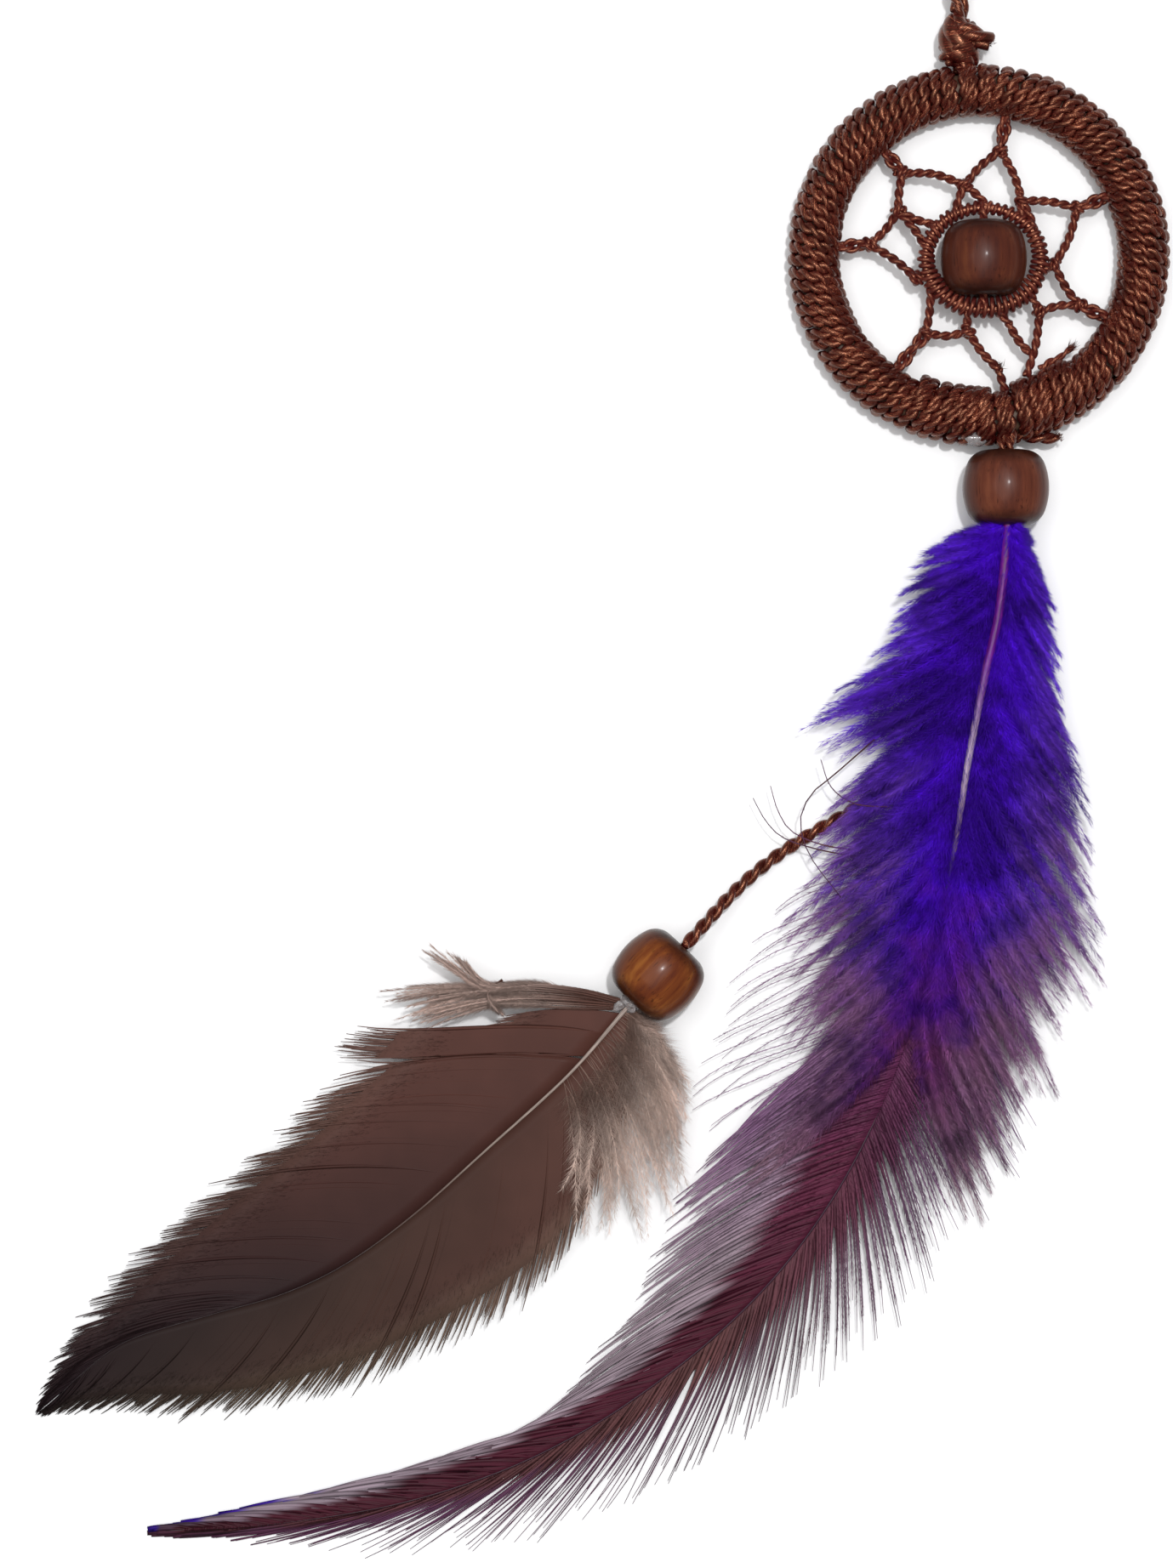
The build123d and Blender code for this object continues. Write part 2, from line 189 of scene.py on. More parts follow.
def bead_material(name, node, turn, dark, middle, light, roughness, coat, painted_underside_shade):
    """Stained and lacquered wood, with its grain along the bore, darker towards the mouths, and painted shade
    that darkens it below and lightens its top a little.
    """
    made, tree, shader = new_material(name)
    low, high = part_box(node)
    inputs = {0: object_place(tree), 1: tuple((low + high) / 2)}
    local = add(tree, "ShaderNodeVectorMath", inputs, operation="SUBTRACT").outputs[0]
    turned = place(tree, vector=local, rotation=(0, 0, -math.radians(turn)))
    grain = noise(tree, place(tree, (1, 0.09, 1), turned), 1500.0, 4.0, 0.62)
    bands = noise(tree, place(tree, (1, 0.16, 1), turned), 330.0, 2.0)
    pores = noise(tree, place(tree, (1, 0.05, 1), turned), 4200.0, 2.0)
    colour = ramp(tree, blended(tree, grain, 0.4, bands, 0.6), [(0.34, *dark), (0.52, *middle), (0.7, *light)])
    # Painted shade and light: darker below and a little lighter on top, as if lit from above.
    colour = times(tree, colour, span(tree, split(tree, local)[2], 0.0002, 0.0051, painted_underside_shade, 1.1))
    from_middle = maths(tree, "ABSOLUTE", split(tree, turned)[1])
    colour = times(tree, colour, span(tree, from_middle, 0.0022, 0.0044, 1.0, 0.3))
    plug(tree, shader, {
        "Base Color": times(tree, colour, span(tree, pores, 0.62, 0.72, 1.0, 0.55)),
        "Roughness": span(tree, grain, 0.3, 0.7, roughness + 0.1, roughness - 0.05),
        "Normal": bump(tree, grain, 0.35, 0.00005),
        "Specular IOR Level": 0.1,
        "Coat Weight": coat,
        "Coat Roughness": 0.14,
        "Coat IOR": 1.3,
    })
    return made


def glue_material():
    """Dried clear glue, a little cloudy."""
    made, tree, shader = new_material("dried_glue")
    cloud = noise(tree, place(tree), 2600.0, 3.0)
    plug(tree, shader, {
        "Base Color": ramp(tree, cloud, [(0.35, 0.5, 0.43, 0.42), (0.7, 0.92, 0.89, 0.9)]),
        "Roughness": span(tree, cloud, 0.3, 0.7, 0.12, 0.32),
        "Normal": bump(tree, cloud, 0.4, 0.0001),
        "Transmission Weight": 0.7,
        "IOR": 1.47,
    })
    return made


def quill_material(name, stops, roughness):
    """A feather's shaft, whose colour runs along its length, with fine lengthwise streaks."""
    made, tree, shader = new_material(name)
    carried = attribute(tree)
    streaks = noise(tree, place(tree, (60, 2.5, 2.5), carried), 1.0, 3.0)
    colour = ramp(tree, split(tree, carried)[0], stops)
    plug(tree, shader, {
        "Base Color": times(tree, colour, span(tree, streaks, 0.3, 0.7, 0.6, 1.25)),
        "Roughness": span(tree, streaks, 0.3, 0.7, roughness, roughness + 0.2),
        "Normal": bump(tree, streaks, 0.3, 0.00004),
        "Specular IOR Level": 0.25,
        "Coat Weight": 0.12,
        "Coat Roughness": 0.15,
    })
    return made


def feather_material(name, body, edge, edge_place, root_dark, patch, gloss, heights=None, rim=None, vary=0.2):
    """Barbs: body colours near the shaft and edge colours near the tips, both changing along the feather.

    Along the feather means along its shaft, or, if heights gives two, from the one Y to the other.
    patch is the patches' scale, the two noise levels that they run between, and how dark they get.
    """
    made, tree, shader = new_material(name)
    along, on_barb, chance = split(tree, attribute(tree))
    scale, low, high, darkest = patch
    patches = noise(tree, place(tree), scale, 3.0, 0.6)
    if heights:
        inputs = {"Value": split(tree, object_place(tree))[1], "From Min": heights[0], "From Max": heights[1]}
        fall = add(tree, "ShaderNodeMapRange", inputs).outputs["Result"]
        along = maths(tree, "ADD", fall, span(tree, patches, 0.3, 0.7, -0.08, 0.08))
    colour = mix(tree, span(tree, on_barb, *edge_place), ramp(tree, along, body), ramp(tree, along, edge))
    if rim:
        at_edge = maths(tree, "MULTIPLY", span(tree, on_barb, 0.72, 0.86), span(tree, along, 0.62, 0.72))
        colour = mix(tree, at_edge, colour, (*rim, 1.0))
    depth = span(tree, patches, low, high, darkest, 1.0)
    near_root = span(tree, on_barb, 0.0, 0.3, root_dark, 1.0)
    colour = times(tree, colour, maths(tree, "MULTIPLY", depth, near_root))
    plug(tree, shader, {
        "Base Color": times(tree, colour, span(tree, chance, 0.0, 1.0, 1 - vary, 1 + vary)),
        "Roughness": span(tree, chance, 0.0, 1.0, 0.45, 0.62),
        "Specular IOR Level": gloss,
    })
    return made


cord_brown = cord_material(
    "satin_cord",
    (0.011, 0.0006, 0.001),
    (0.036, 0.003, 0.0033),
    (0.105, 0.013, 0.009),
    0.22,
)
cord_web = cord_material(
    "satin_web_cord",
    (0.022, 0.002, 0.0032),
    (0.065, 0.0075, 0.008),
    (0.15, 0.026, 0.019),
    0.26,
)
glue = glue_material()


# ---------------------------------------------------------------- geometry helpers
def unit(vectors):
    return vectors / np.maximum(np.linalg.norm(vectors, axis=-1, keepdims=True), 1e-12)


def distances(line):
    """How far along a line each of its points is."""
    return np.concatenate([[0.0], np.cumsum(np.linalg.norm(np.diff(line, axis=0), axis=1))])


def evenly(line, step):
    """The line, with its points a step apart."""
    along = distances(line)
    count = max(4, int(round(along[-1] / step)) + 1)
    at = np.linspace(0, along[-1], count)
    return np.stack([np.interp(at, along, line[:, axis]) for axis in range(line.shape[1])], axis=1)


def curved(points, step):
    """A smooth line through a few points, with its points a step apart."""
    given = np.array(points, float)
    padded = np.vstack([2 * given[0] - given[1], given, 2 * given[-1] - given[-2]])
    t = np.linspace(0, 1, 24, endpoint=False)[:, None]
    pieces = []
    for a, b, c, d in zip(padded, padded[1:], padded[2:], padded[3:]):
        bend = 2 * b + (c - a) * t + (2 * a - 5 * b + 4 * c - d) * t**2 + (3 * b - a - 3 * c + d) * t**3
        pieces.append(bend / 2)
    return evenly(np.vstack([*pieces, given[-1:]]), step)


def sides_of(line):
    """Two side vectors along a line that turn as little as they can."""
    tangent = unit(np.gradient(line, axis=0))
    first = np.cross(tangent[0], UP)
    if np.linalg.norm(first) < 0.1:
        first = np.cross(tangent[0], (1.0, 0.0, 0.0))
    normals = np.empty_like(line)
    normal = unit(first)
    for i, direction in enumerate(tangent):
        normal = unit(normal - direction * (normal @ direction))
        normals[i] = normal
    return normals, np.cross(tangent, normals)


class Piece:
    """Gathers the points and faces of one mesh, with three numbers for each point."""

    def __init__(self):
        self.points = []
        self.faces = []
        self.marks = []
        self.count = 0

    def add(self, points, faces, marks):
        self.points.append(points.reshape(-1, 3))
        self.marks.append(np.broadcast_to(marks, points.shape).reshape(-1, 3))
        self.faces.extend(np.asarray(f) + self.count for f in faces)
        self.count += len(self.points[-1])

    def build(self, name, material, body, slot, node):
        """Makes the object, which rides on a body, takes the material and stands for a CAD node, which it hides;
        slot is not used.
        """
        points = np.vstack(self.points) * MM
        sizes = np.concatenate([np.full(len(f), f.shape[1]) for f in self.faces])
        corners = np.concatenate([f.ravel() for f in self.faces])
        mesh = bpy.data.meshes.new(name)
        mesh.vertices.add(len(points))
        mesh.vertices.foreach_set("co", points.ravel())
        mesh.loops.add(len(corners))
        mesh.loops.foreach_set("vertex_index", corners.astype(np.int32))
        mesh.polygons.add(len(sizes))
        mesh.polygons.foreach_set("loop_start", (np.cumsum(sizes) - sizes).astype(np.int32))
        mesh.polygons.foreach_set("use_smooth", np.ones(len(sizes), bool))
        mesh.update(calc_edges=True)
        mesh.validate()
        marks = np.hstack([np.vstack(self.marks), np.ones((len(points), 1))])
        layer = mesh.color_attributes.new("fx", "FLOAT_COLOR", "POINT")
        layer.data.foreach_set("color", marks.ravel().astype(np.float32))
        mesh.materials.append(material)
        made = bpy.data.objects.new(name, mesh)
        bpy.context.scene.collection.objects.link(made)
        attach(made, body)
        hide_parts(node)
        return made


def tube(piece, line, normals, binormals, wide, high, sides, twist=0.0, marks=None):
    """A closed tube of oval section along a line; wide is along the normals, high along the binormals."""
    count = len(line)
    turn = np.arange(sides) * TAU / sides
    wide = np.broadcast_to(wide, count)[:, None, None]
    high = np.broadcast_to(high, count)[:, None, None]
    across = np.cos(turn)[None, :, None] * normals[:, None, :]
    upwards = np.sin(turn)[None, :, None] * binormals[:, None, :]
    points = line[:, None, :] + wide * across + high * upwards
    if marks is None:
        along = distances(line)
        angle = turn[None, :] + twist * along[:, None]
        marks = np.stack([np.broadcast_to(along[:, None], angle.shape), np.cos(angle), np.sin(angle)], axis=2)
    ring = np.arange(sides)
    after = np.roll(ring, -1)
    row = np.arange(count - 1)[:, None] * sides
    quads = np.stack([row + ring, row + after, row + sides + after, row + sides + ring], axis=2)
    ends = [ring[None, ::-1], ring[None, :] + (count - 1) * sides]
    piece.add(points, [quads.reshape(-1, 4), *ends], marks)


# A ply's filaments turn this much for each millimetre. Its offset and radius are shares of the cord's diameter.
FILAMENT_TWIST = -1.9
PLY_OFFSET = 0.235
PLY_RADIUS = 0.285


def turned(turn, normals, binormals):
    """A vector for each angle, between the two side vectors."""
    return np.cos(turn)[:, None] * normals + np.sin(turn)[:, None] * binormals


def rope(piece, line, diameter, lay, plies=2, sides=8, phase=0.0, taper=None):
    """Plies twisted round a line, as in a satin cord."""
    along = distances(line)
    normals, binormals = sides_of(line)
    size = diameter * (np.ones(len(line)) if taper is None else taper(along / along[-1]))
    for ply in range(plies):
        turn = phase + TAU * ply / plies - TAU * along / lay
        strand = line + turned(turn, normals, binormals) * (PLY_OFFSET * size)[:, None]
        radius = PLY_RADIUS * size
        tube(piece, strand, *sides_of(strand), radius, radius, sides, twist=-FILAMENT_TWIST)


def needles(piece, base, reach, width, marks_base, marks_tip):
    """Closed, tapered hairs: each a thin pyramid from its base to base + reach."""
    direction = unit(reach)
    side = unit(np.cross(direction, UP) + 1e-6)
    upwards = np.cross(side, direction)
    width = np.broadcast_to(width, len(base))[:, None]
    corners = [base + side * width / 2, base - side * width / 2, base + upwards * width * 0.8, base + reach]
    points = np.stack(corners, axis=1)
    first = np.arange(len(base))[:, None] * 4
    faces = [np.array([[1, 0, 3]]), np.array([[2, 1, 3]]), np.array([[0, 2, 3]]), np.array([[0, 1, 2]])]
    marks = np.stack([marks_base, marks_base, marks_base, marks_tip], axis=1)
    piece.add(points, [first + face for face in faces], marks)


def frayed(piece, point, direction, length, spread, count, seed):
    """Loose filaments at a cord's cut end."""
    draw = np.random.default_rng(seed)
    base = np.array(point) + draw.normal(0, 0.22, (count, 3))
    reach = unit(np.array(direction, float) + draw.normal(0, spread, (count, 3)))
    reach *= length * draw.uniform(0.4, 1.0, (count, 1))
    marks = np.column_stack([draw.uniform(0, 9, count), draw.normal(0, 1, (count, 2))])
    needles(piece, base, reach, 0.09, marks, marks)


def blob(piece, centre, radii, seed, turn):
    """A lump of dried glue: a ball with soft, uneven bulges."""
    draw = np.random.default_rng(seed)
    rows, columns = 26, 40
    polar = np.linspace(0.02, math.pi - 0.02, rows)[:, None]
    azimuth = np.arange(columns)[None, :] * TAU / columns
    round_x = np.sin(polar) * np.cos(azimuth)
    round_y = np.sin(polar) * np.sin(azimuth)
    ball = np.stack([round_x, round_y, np.cos(polar) + 0 * azimuth], axis=2)
    swell = np.ones(ball.shape[:2])
    for waves in (2.1, 3.4, 5.2):
        push = draw.normal(0, 1, 3)
        swell += 0.16 / waves * 2 * np.sin(waves * (ball @ push) + draw.uniform(0, TAU))
    shape = ball * swell[:, :, None] * np.array(radii)
    c, s = math.cos(turn), math.sin(turn)
    shape = shape @ np.array([[c, s, 0], [-s, c, 0], [0, 0, 1]])
    ring = np.arange(columns)
    after = np.roll(ring, -1)
    row = np.arange(rows - 1)[:, None] * columns
    quads = np.stack([row + ring, row + columns + ring, row + columns + after, row + after], axis=2)
    caps = [ring[None, :], ring[None, ::-1] + (rows - 1) * columns]
    piece.add(shape + np.array(centre), [quads.reshape(-1, 4), *caps], ball)


# ---------------------------------------------------------------- free cords
CORD_D = 1.6
CORD_LAY = 4.2


def free_line(name, route):
    """The points of a smooth line with the route's points, in metres, as its control points."""
    curve = bpy.data.curves.new(name, "CURVE")
    curve.dimensions = "3D"
    curve.resolution_u = 24
    spline = curve.splines.new("NURBS")
    spline.points.add(len(route) - 1)
    for point, place_at in zip(spline.points, route):
        point.co = (*place_at, 1.0)
    spline.order_u = 3
    spline.use_endpoint_u = True
    guide = bpy.data.objects.new(name, curve)
    bpy.context.scene.collection.objects.link(guide)
    bpy.context.view_layer.update()
    shaped = bpy.data.meshes.new_from_object(guide)
    line = np.array([vertex.co[:] for vertex in shaped.vertices]) / MM
    bpy.data.objects.remove(guide)
    bpy.data.meshes.remove(shaped)
    return line


# From the upper bead's lower mouth, down to the floor under the purple feather, up to the lower bead.
lower_cord_route = [
    (0.0463, 0.0310, 0.0043),
    (0.0462, 0.0276, 0.00415),
    (0.0457, 0.0224, 0.0026),
    (0.0443, 0.0166, 0.00095),
    (0.0412, 0.0102, 0.0008),
    (0.0364, 0.0040, 0.00082),
    (0.0302, -0.0015, 0.0008),
    (0.0232, -0.0053, 0.00082),
    (0.0183, -0.0086, 0.00095),
    (0.0143, -0.0121, 0.0023),
    (0.0112, -0.0155, 0.00435),
    (0.00863, -0.01831, 0.00505),
]
# Out of the knot, round the loop's far end and back into the knot.
hanging_loop_route = [
    (0.04065, 0.0915, 0.0043),
    (0.0403, 0.0942, 0.00415),
    (0.0391, 0.0982, 0.0030),
    (0.0372, 0.1030, 0.0012),
    (0.0355, 0.1100, 0.0008),
    (0.0345, 0.1184, 0.00082),
    (0.0342, 0.1268, 0.0008),
    (0.0350, 0.1340, 0.00082),
    (0.0376, 0.1390, 0.0008),
    (0.0420, 0.1410, 0.00082),
    (0.0463, 0.1393, 0.0008),
    (0.0489, 0.1344, 0.00082),
    (0.0493, 0.1270, 0.0008),
    (0.0485, 0.1186, 0.00082),
    (0.0466, 0.1102, 0.0008),
    (0.0442, 0.1030, 0.0009),
    (0.0427, 0.0982, 0.0016),
    (0.0416, 0.0942, 0.0024),
    (0.04135, 0.0915, 0.0025),
]
for node, body, route, length in [
    ("lower_cord", "lower_cord", lower_cord_route, 0.0663),
    ("hanging_loop", "loop", hanging_loop_route, 0.1077),
]:
    line = evenly(free_line(node + "_line", route), 0.4)
    piece = Piece()
    rope(piece, line, CORD_D, CORD_LAY, sides=12)
    piece.build(node + "_rope", cord_brown, body, "cord", node)


# ---------------------------------------------------------------- hoop
HOOP_X, HOOP_Y, HOOP_Z = 43.3, 62.9, 3.15
HOOP = np.array([HOOP_X, HOOP_Y, HOOP_Z])
HOOP_R = 19.35
TUBE_R = 3.15
HANGER_X = 41.8
TIE_X = 46.3
HANGER_ANGLE = 90 + math.degrees(math.asin((HOOP_X - HANGER_X) / HOOP_R))
TIE_ANGLE = -90 + math.degrees(math.asin((TIE_X - HOOP_X) / HOOP_R))
# The winding leaves room for the hanger's and the tie's turns, which move round the core.
GAP_ANGLE = math.degrees(1.35 / HOOP_R) + 1.5
TURNS_ANGLE = 2.3
WIND_R = 2.6
WIND_PITCH = 1.3
WIND_SLANT = 0.8
PLY_LAY = 3.1
ROWS_PER_TURN = 42


def wind(
    piece, start, stop, turns, seed, radius=WIND_R, hoop_r=HOOP_R, size=1.0, tuck=True, phase=0.0, wander=1.0
):
    """Two-ply cord wound round the hoop from one angle to another, aslant, each turn a little different."""
    draw = np.random.default_rng(seed)
    at = np.linspace(0, turns, int(turns * ROWS_PER_TURN))
    from_end = np.minimum(at, turns - at)
    knots = np.arange(int(turns) + 3)
    drift = np.interp(at, knots, draw.normal(0, 0.09 * wander, len(knots))) * np.clip(from_end / 2, 0, 1)
    lift = np.interp(at, knots, draw.normal(0, 0.05 * wander, len(knots)))
    around = TAU * at + phase
    aslant = WIND_SLANT * wander * np.clip(from_end / 4, 0, 1)
    advance = np.clip((at - 0.8) / (turns - 1.6), 0, 1) if tuck else at / turns
    angle = np.radians(start + (stop - start) * advance) + (drift - aslant * np.cos(around)) / hoop_r
    inward = np.clip(from_end / 0.2, 0, 1) if tuck else 1.0
    ring = radius + lift - 0.55 * (1 - inward)
    outward = np.stack([np.cos(angle), np.sin(angle), 0 * angle], axis=1)
    normals = turned(around, outward, UP)
    line = HOOP + outward * hoop_r + normals * ring[:, None]
    binormals = np.cross(unit(np.gradient(line, axis=0)), normals)
    for ply in range(2):
        turn = math.pi * ply - TAU * distances(line) / PLY_LAY
        offset = turned(turn, 0.36 * size * binormals, 0.18 * size * normals)
        tube(piece, line + offset, binormals, normals, 0.43 * size, 0.38 * size, 9, twist=-FILAMENT_TWIST)


winding = Piece()
for start, stop, seed in [
    (TIE_ANGLE + GAP_ANGLE, HANGER_ANGLE - GAP_ANGLE, 11),
    (HANGER_ANGLE + GAP_ANGLE, 360 + TIE_ANGLE - GAP_ANGLE, 12),
]:
    turns = math.radians(stop - start) * HOOP_R / WIND_PITCH
    wind(winding, start, stop, round(turns) + 0.5, seed)
winding.build("hoop_winding", cord_brown, "hoop", "cord", "hoop_wrap")

lashing = Piece()
for start, stop, turns, seed, phase in [(-113, -87.5, 7.5, 13, 0.4), (-74.7, -54, 6.5, 14, 1.1)]:
    wind(lashing, start, stop, turns, seed, hoop_r=HOOP_R - 0.95, phase=phase, wander=1.6)
lashing.build("web_lashing_turns", cord_brown, "hoop", "cord", "web_lashing")


def three_turns(piece, angle, seed, radius=WIND_R):
    """The turns of cord that carry a hanging part."""
    wind(piece, angle - TURNS_ANGLE, angle + TURNS_ANGLE, 3.0, seed, radius, size=0.9, tuck=False, wander=0.0)


hanger_turns = Piece()
three_turns(hanger_turns, HANGER_ANGLE, 15)
hanger_turns.build("hanger_turns", cord_brown, "hanger", "cord", "hanger_ring")

core_material, core_tree, core_shader = new_material("hoop_core_wood")
core_grain = noise(core_tree, place(core_tree, (1, 1, 4)), 900.0, 3.0)
core_colour = ramp(core_tree, core_grain, [(0.35, 0.05, 0.024, 0.014), (0.7, 0.13, 0.07, 0.04)])
plug(core_tree, core_shader, {"Base Color": core_colour, "Roughness": 0.6})


def finish(node, material):
    """Gives a CAD node its material."""
    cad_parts[node].data.materials.clear()
    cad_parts[node].data.materials.append(material)


finish("hoop_core", core_material)


# ---------------------------------------------------------------- web
WEB = (cord_web, "hoop", "web_cord")
WEB_D = 1.1
WEB_LAY = 2.5


def web_point(x, y):
    """A point of the web, from the hoop's middle: the web rises towards the bead."""
    inward = 1 - math.hypot(x, y) / (HOOP_R - TUBE_R)
    return HOOP + np.array([x, y, 1.6 * inward])


def web_anchor(degrees, depth=1.3):
    """A point inside the winding, where a leg starts."""
    turn = math.radians(degrees)
    reach = HOOP_R - TUBE_R + depth
    return HOOP + np.array([reach * math.cos(turn), reach * math.sin(turn), 0.0])


BEAD_X, BEAD_Y, BEAD_Z = 43.7, 62.3, 5.05
BEAD_CENTRE = np.array([BEAD_X, BEAD_Y, BEAD_Z])
# The oval ring round the bead.
RING_X, RING_Y, RING_Z = 6.8, 6.0, 4.6


def ring_point(degrees):
    turn = math.radians(degrees)
    return np.array([BEAD_X + RING_X * math.cos(turn), BEAD_Y + RING_Y * math.sin(turn), RING_Z])


anchors = {
    "top": (web_anchor(79), web_point(2.5, 12.2)),
    "upper_left": (web_anchor(132), web_point(-9.0, 9.6)),
    "left": (web_anchor(177), web_point(-12.8, 1.2)),
    "lower_left": (web_anchor(234), web_point(-6.2, -9.2)),
    "lower_right": (web_anchor(-26), web_point(11.7, -5.9)),
    "upper_right": (web_anchor(24), web_point(11.5, 5.5)),
}
hitches = {
    "north_west": web_point(-1.7, 8.1),
    "north_east": web_point(5.0, 6.3),
    "west": web_point(-9.5, 5.1),
    "south_west": web_point(-7.4, -2.8),
    "east": web_point(8.8, -1.2),
    "south_east": web_point(7.1, -6.7),
    "south": web_point(-1.3, -9.0),
}
outer_legs = [
    ("top", "north_west", 0.06),
    ("top", "north_east", -0.05),
    ("upper_left", "north_west", -0.08),
    ("upper_left", "west", 0.03),
    ("left", "west", 0.05),
    ("left", "south_west", -0.04),
    ("lower_left", "south", 0.09),
    ("lower_right", "east", -0.04),
    ("lower_right", "south_east", 0.07),
    ("upper_right", "east", -0.06),
    ("upper_right", "north_east", 0.05),
]
inner_legs = [
    ("north_west", 120),
    ("north_west", 85),
    ("north_east", 50),
    ("north_east", 25),
    ("west", 140),
    ("west", 168),
    ("south_west", 200),
    ("east", 350),
    ("south_east", 320),
    ("south", 255),
]


def leg(piece, start, end, bend, phase=0.0):
    """One leg of the web, bowed a little to a side."""
    run = end - start
    side = unit(np.cross(run, UP)) * np.linalg.norm(run) * bend
    rope(piece, curved([start, start + run * 0.5 + side, end], 0.22), WEB_D, WEB_LAY, phase=phase)


def doubled(piece, start, end):
    """The thick stretch by the hoop, where two lengths of the web's cord are laid round each other."""
    line = curved([start, (start + end) / 2 + UP * 0.1, end], 0.2)
    normals, binormals = sides_of(line)
    for strand in range(2):
        turn = TAU * distances(line) / 6.5 + math.pi * strand + 0.7
        rope(piece, line + 0.42 * turned(turn, normals, binormals), 0.98, 2.7)


outer = Piece()
for anchor, hitch in anchors.values():
    doubled(outer, anchor, hitch)
for number, (anchor, hitch, bend) in enumerate(outer_legs):
    leg(outer, anchors[anchor][1], hitches[hitch], bend, phase=number)
leg(outer, anchors["lower_left"][1], ring_point(205), 0.03)
leg(outer, hitches["south"], web_point(2.3, -13.4), 0.05)
leg(outer, web_point(2.3, -13.4), web_anchor(-79, 0.2), 0.0)
leg(outer, hitches["south_east"], web_point(5.6, -14.2), -0.04)
leg(outer, web_point(3.4, -8.0), web_point(5.9, -11.5), 0.05)
outer.build("web_outer_cord", *WEB, "web_outer_row")

inner = Piece()
for number, (hitch, degrees) in enumerate(inner_legs):
    leg(inner, hitches[hitch], ring_point(degrees), 0.04 * (-1) ** number, phase=number)
leg(inner, ring_point(285), web_point(3.4, -8.0), 0.03)
inner.build("web_inner_cord", *WEB, "web_inner_row")


def hitch_knot(piece, centre, direction, seed):
    """A half hitch: a turn and a half of cord round the leg that it grips."""
    draw = np.random.default_rng(seed)
    axis = unit(direction)
    normal = unit(np.cross(axis, UP))
    t = np.linspace(0, 1, 50)
    turn = TAU * 1.55 * t + draw.uniform(0, TAU)
    along = centre + axis * (t - 0.5)[:, None] * 1.15
    rope(piece, along + 0.58 * turned(turn, normal, np.cross(axis, normal)), 0.86, 2.4)


knots = Piece()
for number, centre in enumerate(hitches.values()):
    hitch_knot(knots, centre, BEAD_CENTRE - centre, 30 + number)
for number, (anchor, centre) in enumerate(anchors.values()):
    hitch_knot(knots, centre, anchor - centre, 50 + number)
knots.build("web_hitch_knots", *WEB, "web_hitches")

# The ring round the bead: thread wound closely round a cord, a little looser on the side of the tie.
RING_WRAPS = 52
THREAD_R = 0.28
ring_piece = Piece()
turn = np.linspace(0, TAU, 2600, endpoint=False)
flat = 0 * turn
middle = np.stack([BEAD_X + RING_X * np.cos(turn), BEAD_Y + RING_Y * np.sin(turn), RING_Z + flat], axis=1)
outward = unit(np.stack([np.cos(turn) / RING_X, np.sin(turn) / RING_Y, flat], axis=1))
uneven = np.interp(turn, np.linspace(0, TAU, 61), np.random.default_rng(70).normal(0, 0.07, 61))
looser = 0.25 * (1 - np.sin(turn))
size = (0.56 + uneven + looser)[:, None] * np.array([1.0, 1.0, 0.75])
thread_line = middle + turned(turn * RING_WRAPS, outward, UP) * size - outward * (looser * 0.5)[:, None]
tube(ring_piece, thread_line, *sides_of(thread_line), THREAD_R, THREAD_R, 8, twist=FILAMENT_TWIST)
core_line = np.vstack([middle[::20], middle[:1]])
tube(ring_piece, core_line, *sides_of(core_line), 0.5, 0.5, 10)
ring_piece.build("inner_ring_winding", *WEB, "inner_ring")

thread = Piece()
thread_ends = np.array([[BEAD_X, BEAD_Y + RING_Y, BEAD_Z], [BEAD_X, BEAD_Y - RING_Y, BEAD_Z]])
rope(thread, evenly(thread_ends, 0.2), 1.0, 2.6)
thread.build("bead_thread_twist", *WEB, "bead_thread")

loose = Piece()
loose_points = [(7.2, -13.4), (8.4, -12.5), (9.5, -12.0), (10.6, -11.1)]
loose_line = curved([web_point(x, y) for x, y in loose_points], 0.2)
rope(loose, loose_line, 1.0, 2.8, taper=lambda t: 1 - 0.25 * t)
frayed(loose, loose_line[-1], (1.0, 0.9, 0.3), 1.5, 0.35, 60, 71)
frayed(loose, web_point(2.3, -13.3), (0.2, 0.9, 0.4), 1.0, 0.6, 60, 72)
loose.build("web_loose_end_rope", *WEB, "web_loose_end")


# ---------------------------------------------------------------- knot above the hoop
knot = Piece()
for offset, rise, phase in [(-0.5, 0.5, 0.0), (0.5, -0.5, 1.6)]:
    stem = [
        (41.75 + offset * 1.1, 84.5, 3.15 + rise * 2.6),
        (41.6 + offset, 86.0, 3.2 + rise * 1.6),
        (41.4 + offset * 0.8, 88.0, 3.3 + rise),
        (41.2 + offset * 0.6, 90.0, 3.4 + rise * 1.4),
        (41.0 + offset * 0.55, 92.2, 3.4 + rise * 1.8),
    ]
    rope(knot, curved(stem, 0.3), CORD_D * 0.88, CORD_LAY, sides=10, phase=phase)
body = [(41.0, 90.6, 3.4), (40.7, 89.4, 3.5), (40.9, 87.6, 3.5), (41.6, 86.0, 3.3), (41.8, 85.0, 3.2)]
rope(knot, curved(body, 0.25), 4.6, 11.0, plies=5, sides=12, taper=lambda t: 0.55 + 0.45 * np.sin(math.pi * t))
t = np.linspace(0, 1, 120)
turn = TAU * 1.6 * t + 2.4
wrap_x = 41.1 + 1.75 * np.cos(turn)
wrap_y = 86.6 + 2.2 * t + 0.9 * np.cos(turn + 0.6)
wrap_z = 3.4 + 1.5 * np.sin(turn)
rope(knot, evenly(np.stack([wrap_x, wrap_y, wrap_z], axis=1), 0.3), CORD_D * 1.05, CORD_LAY, sides=10)
knot.build("top_knot_cord", cord_brown, "hanger", "cord", "top_knot")

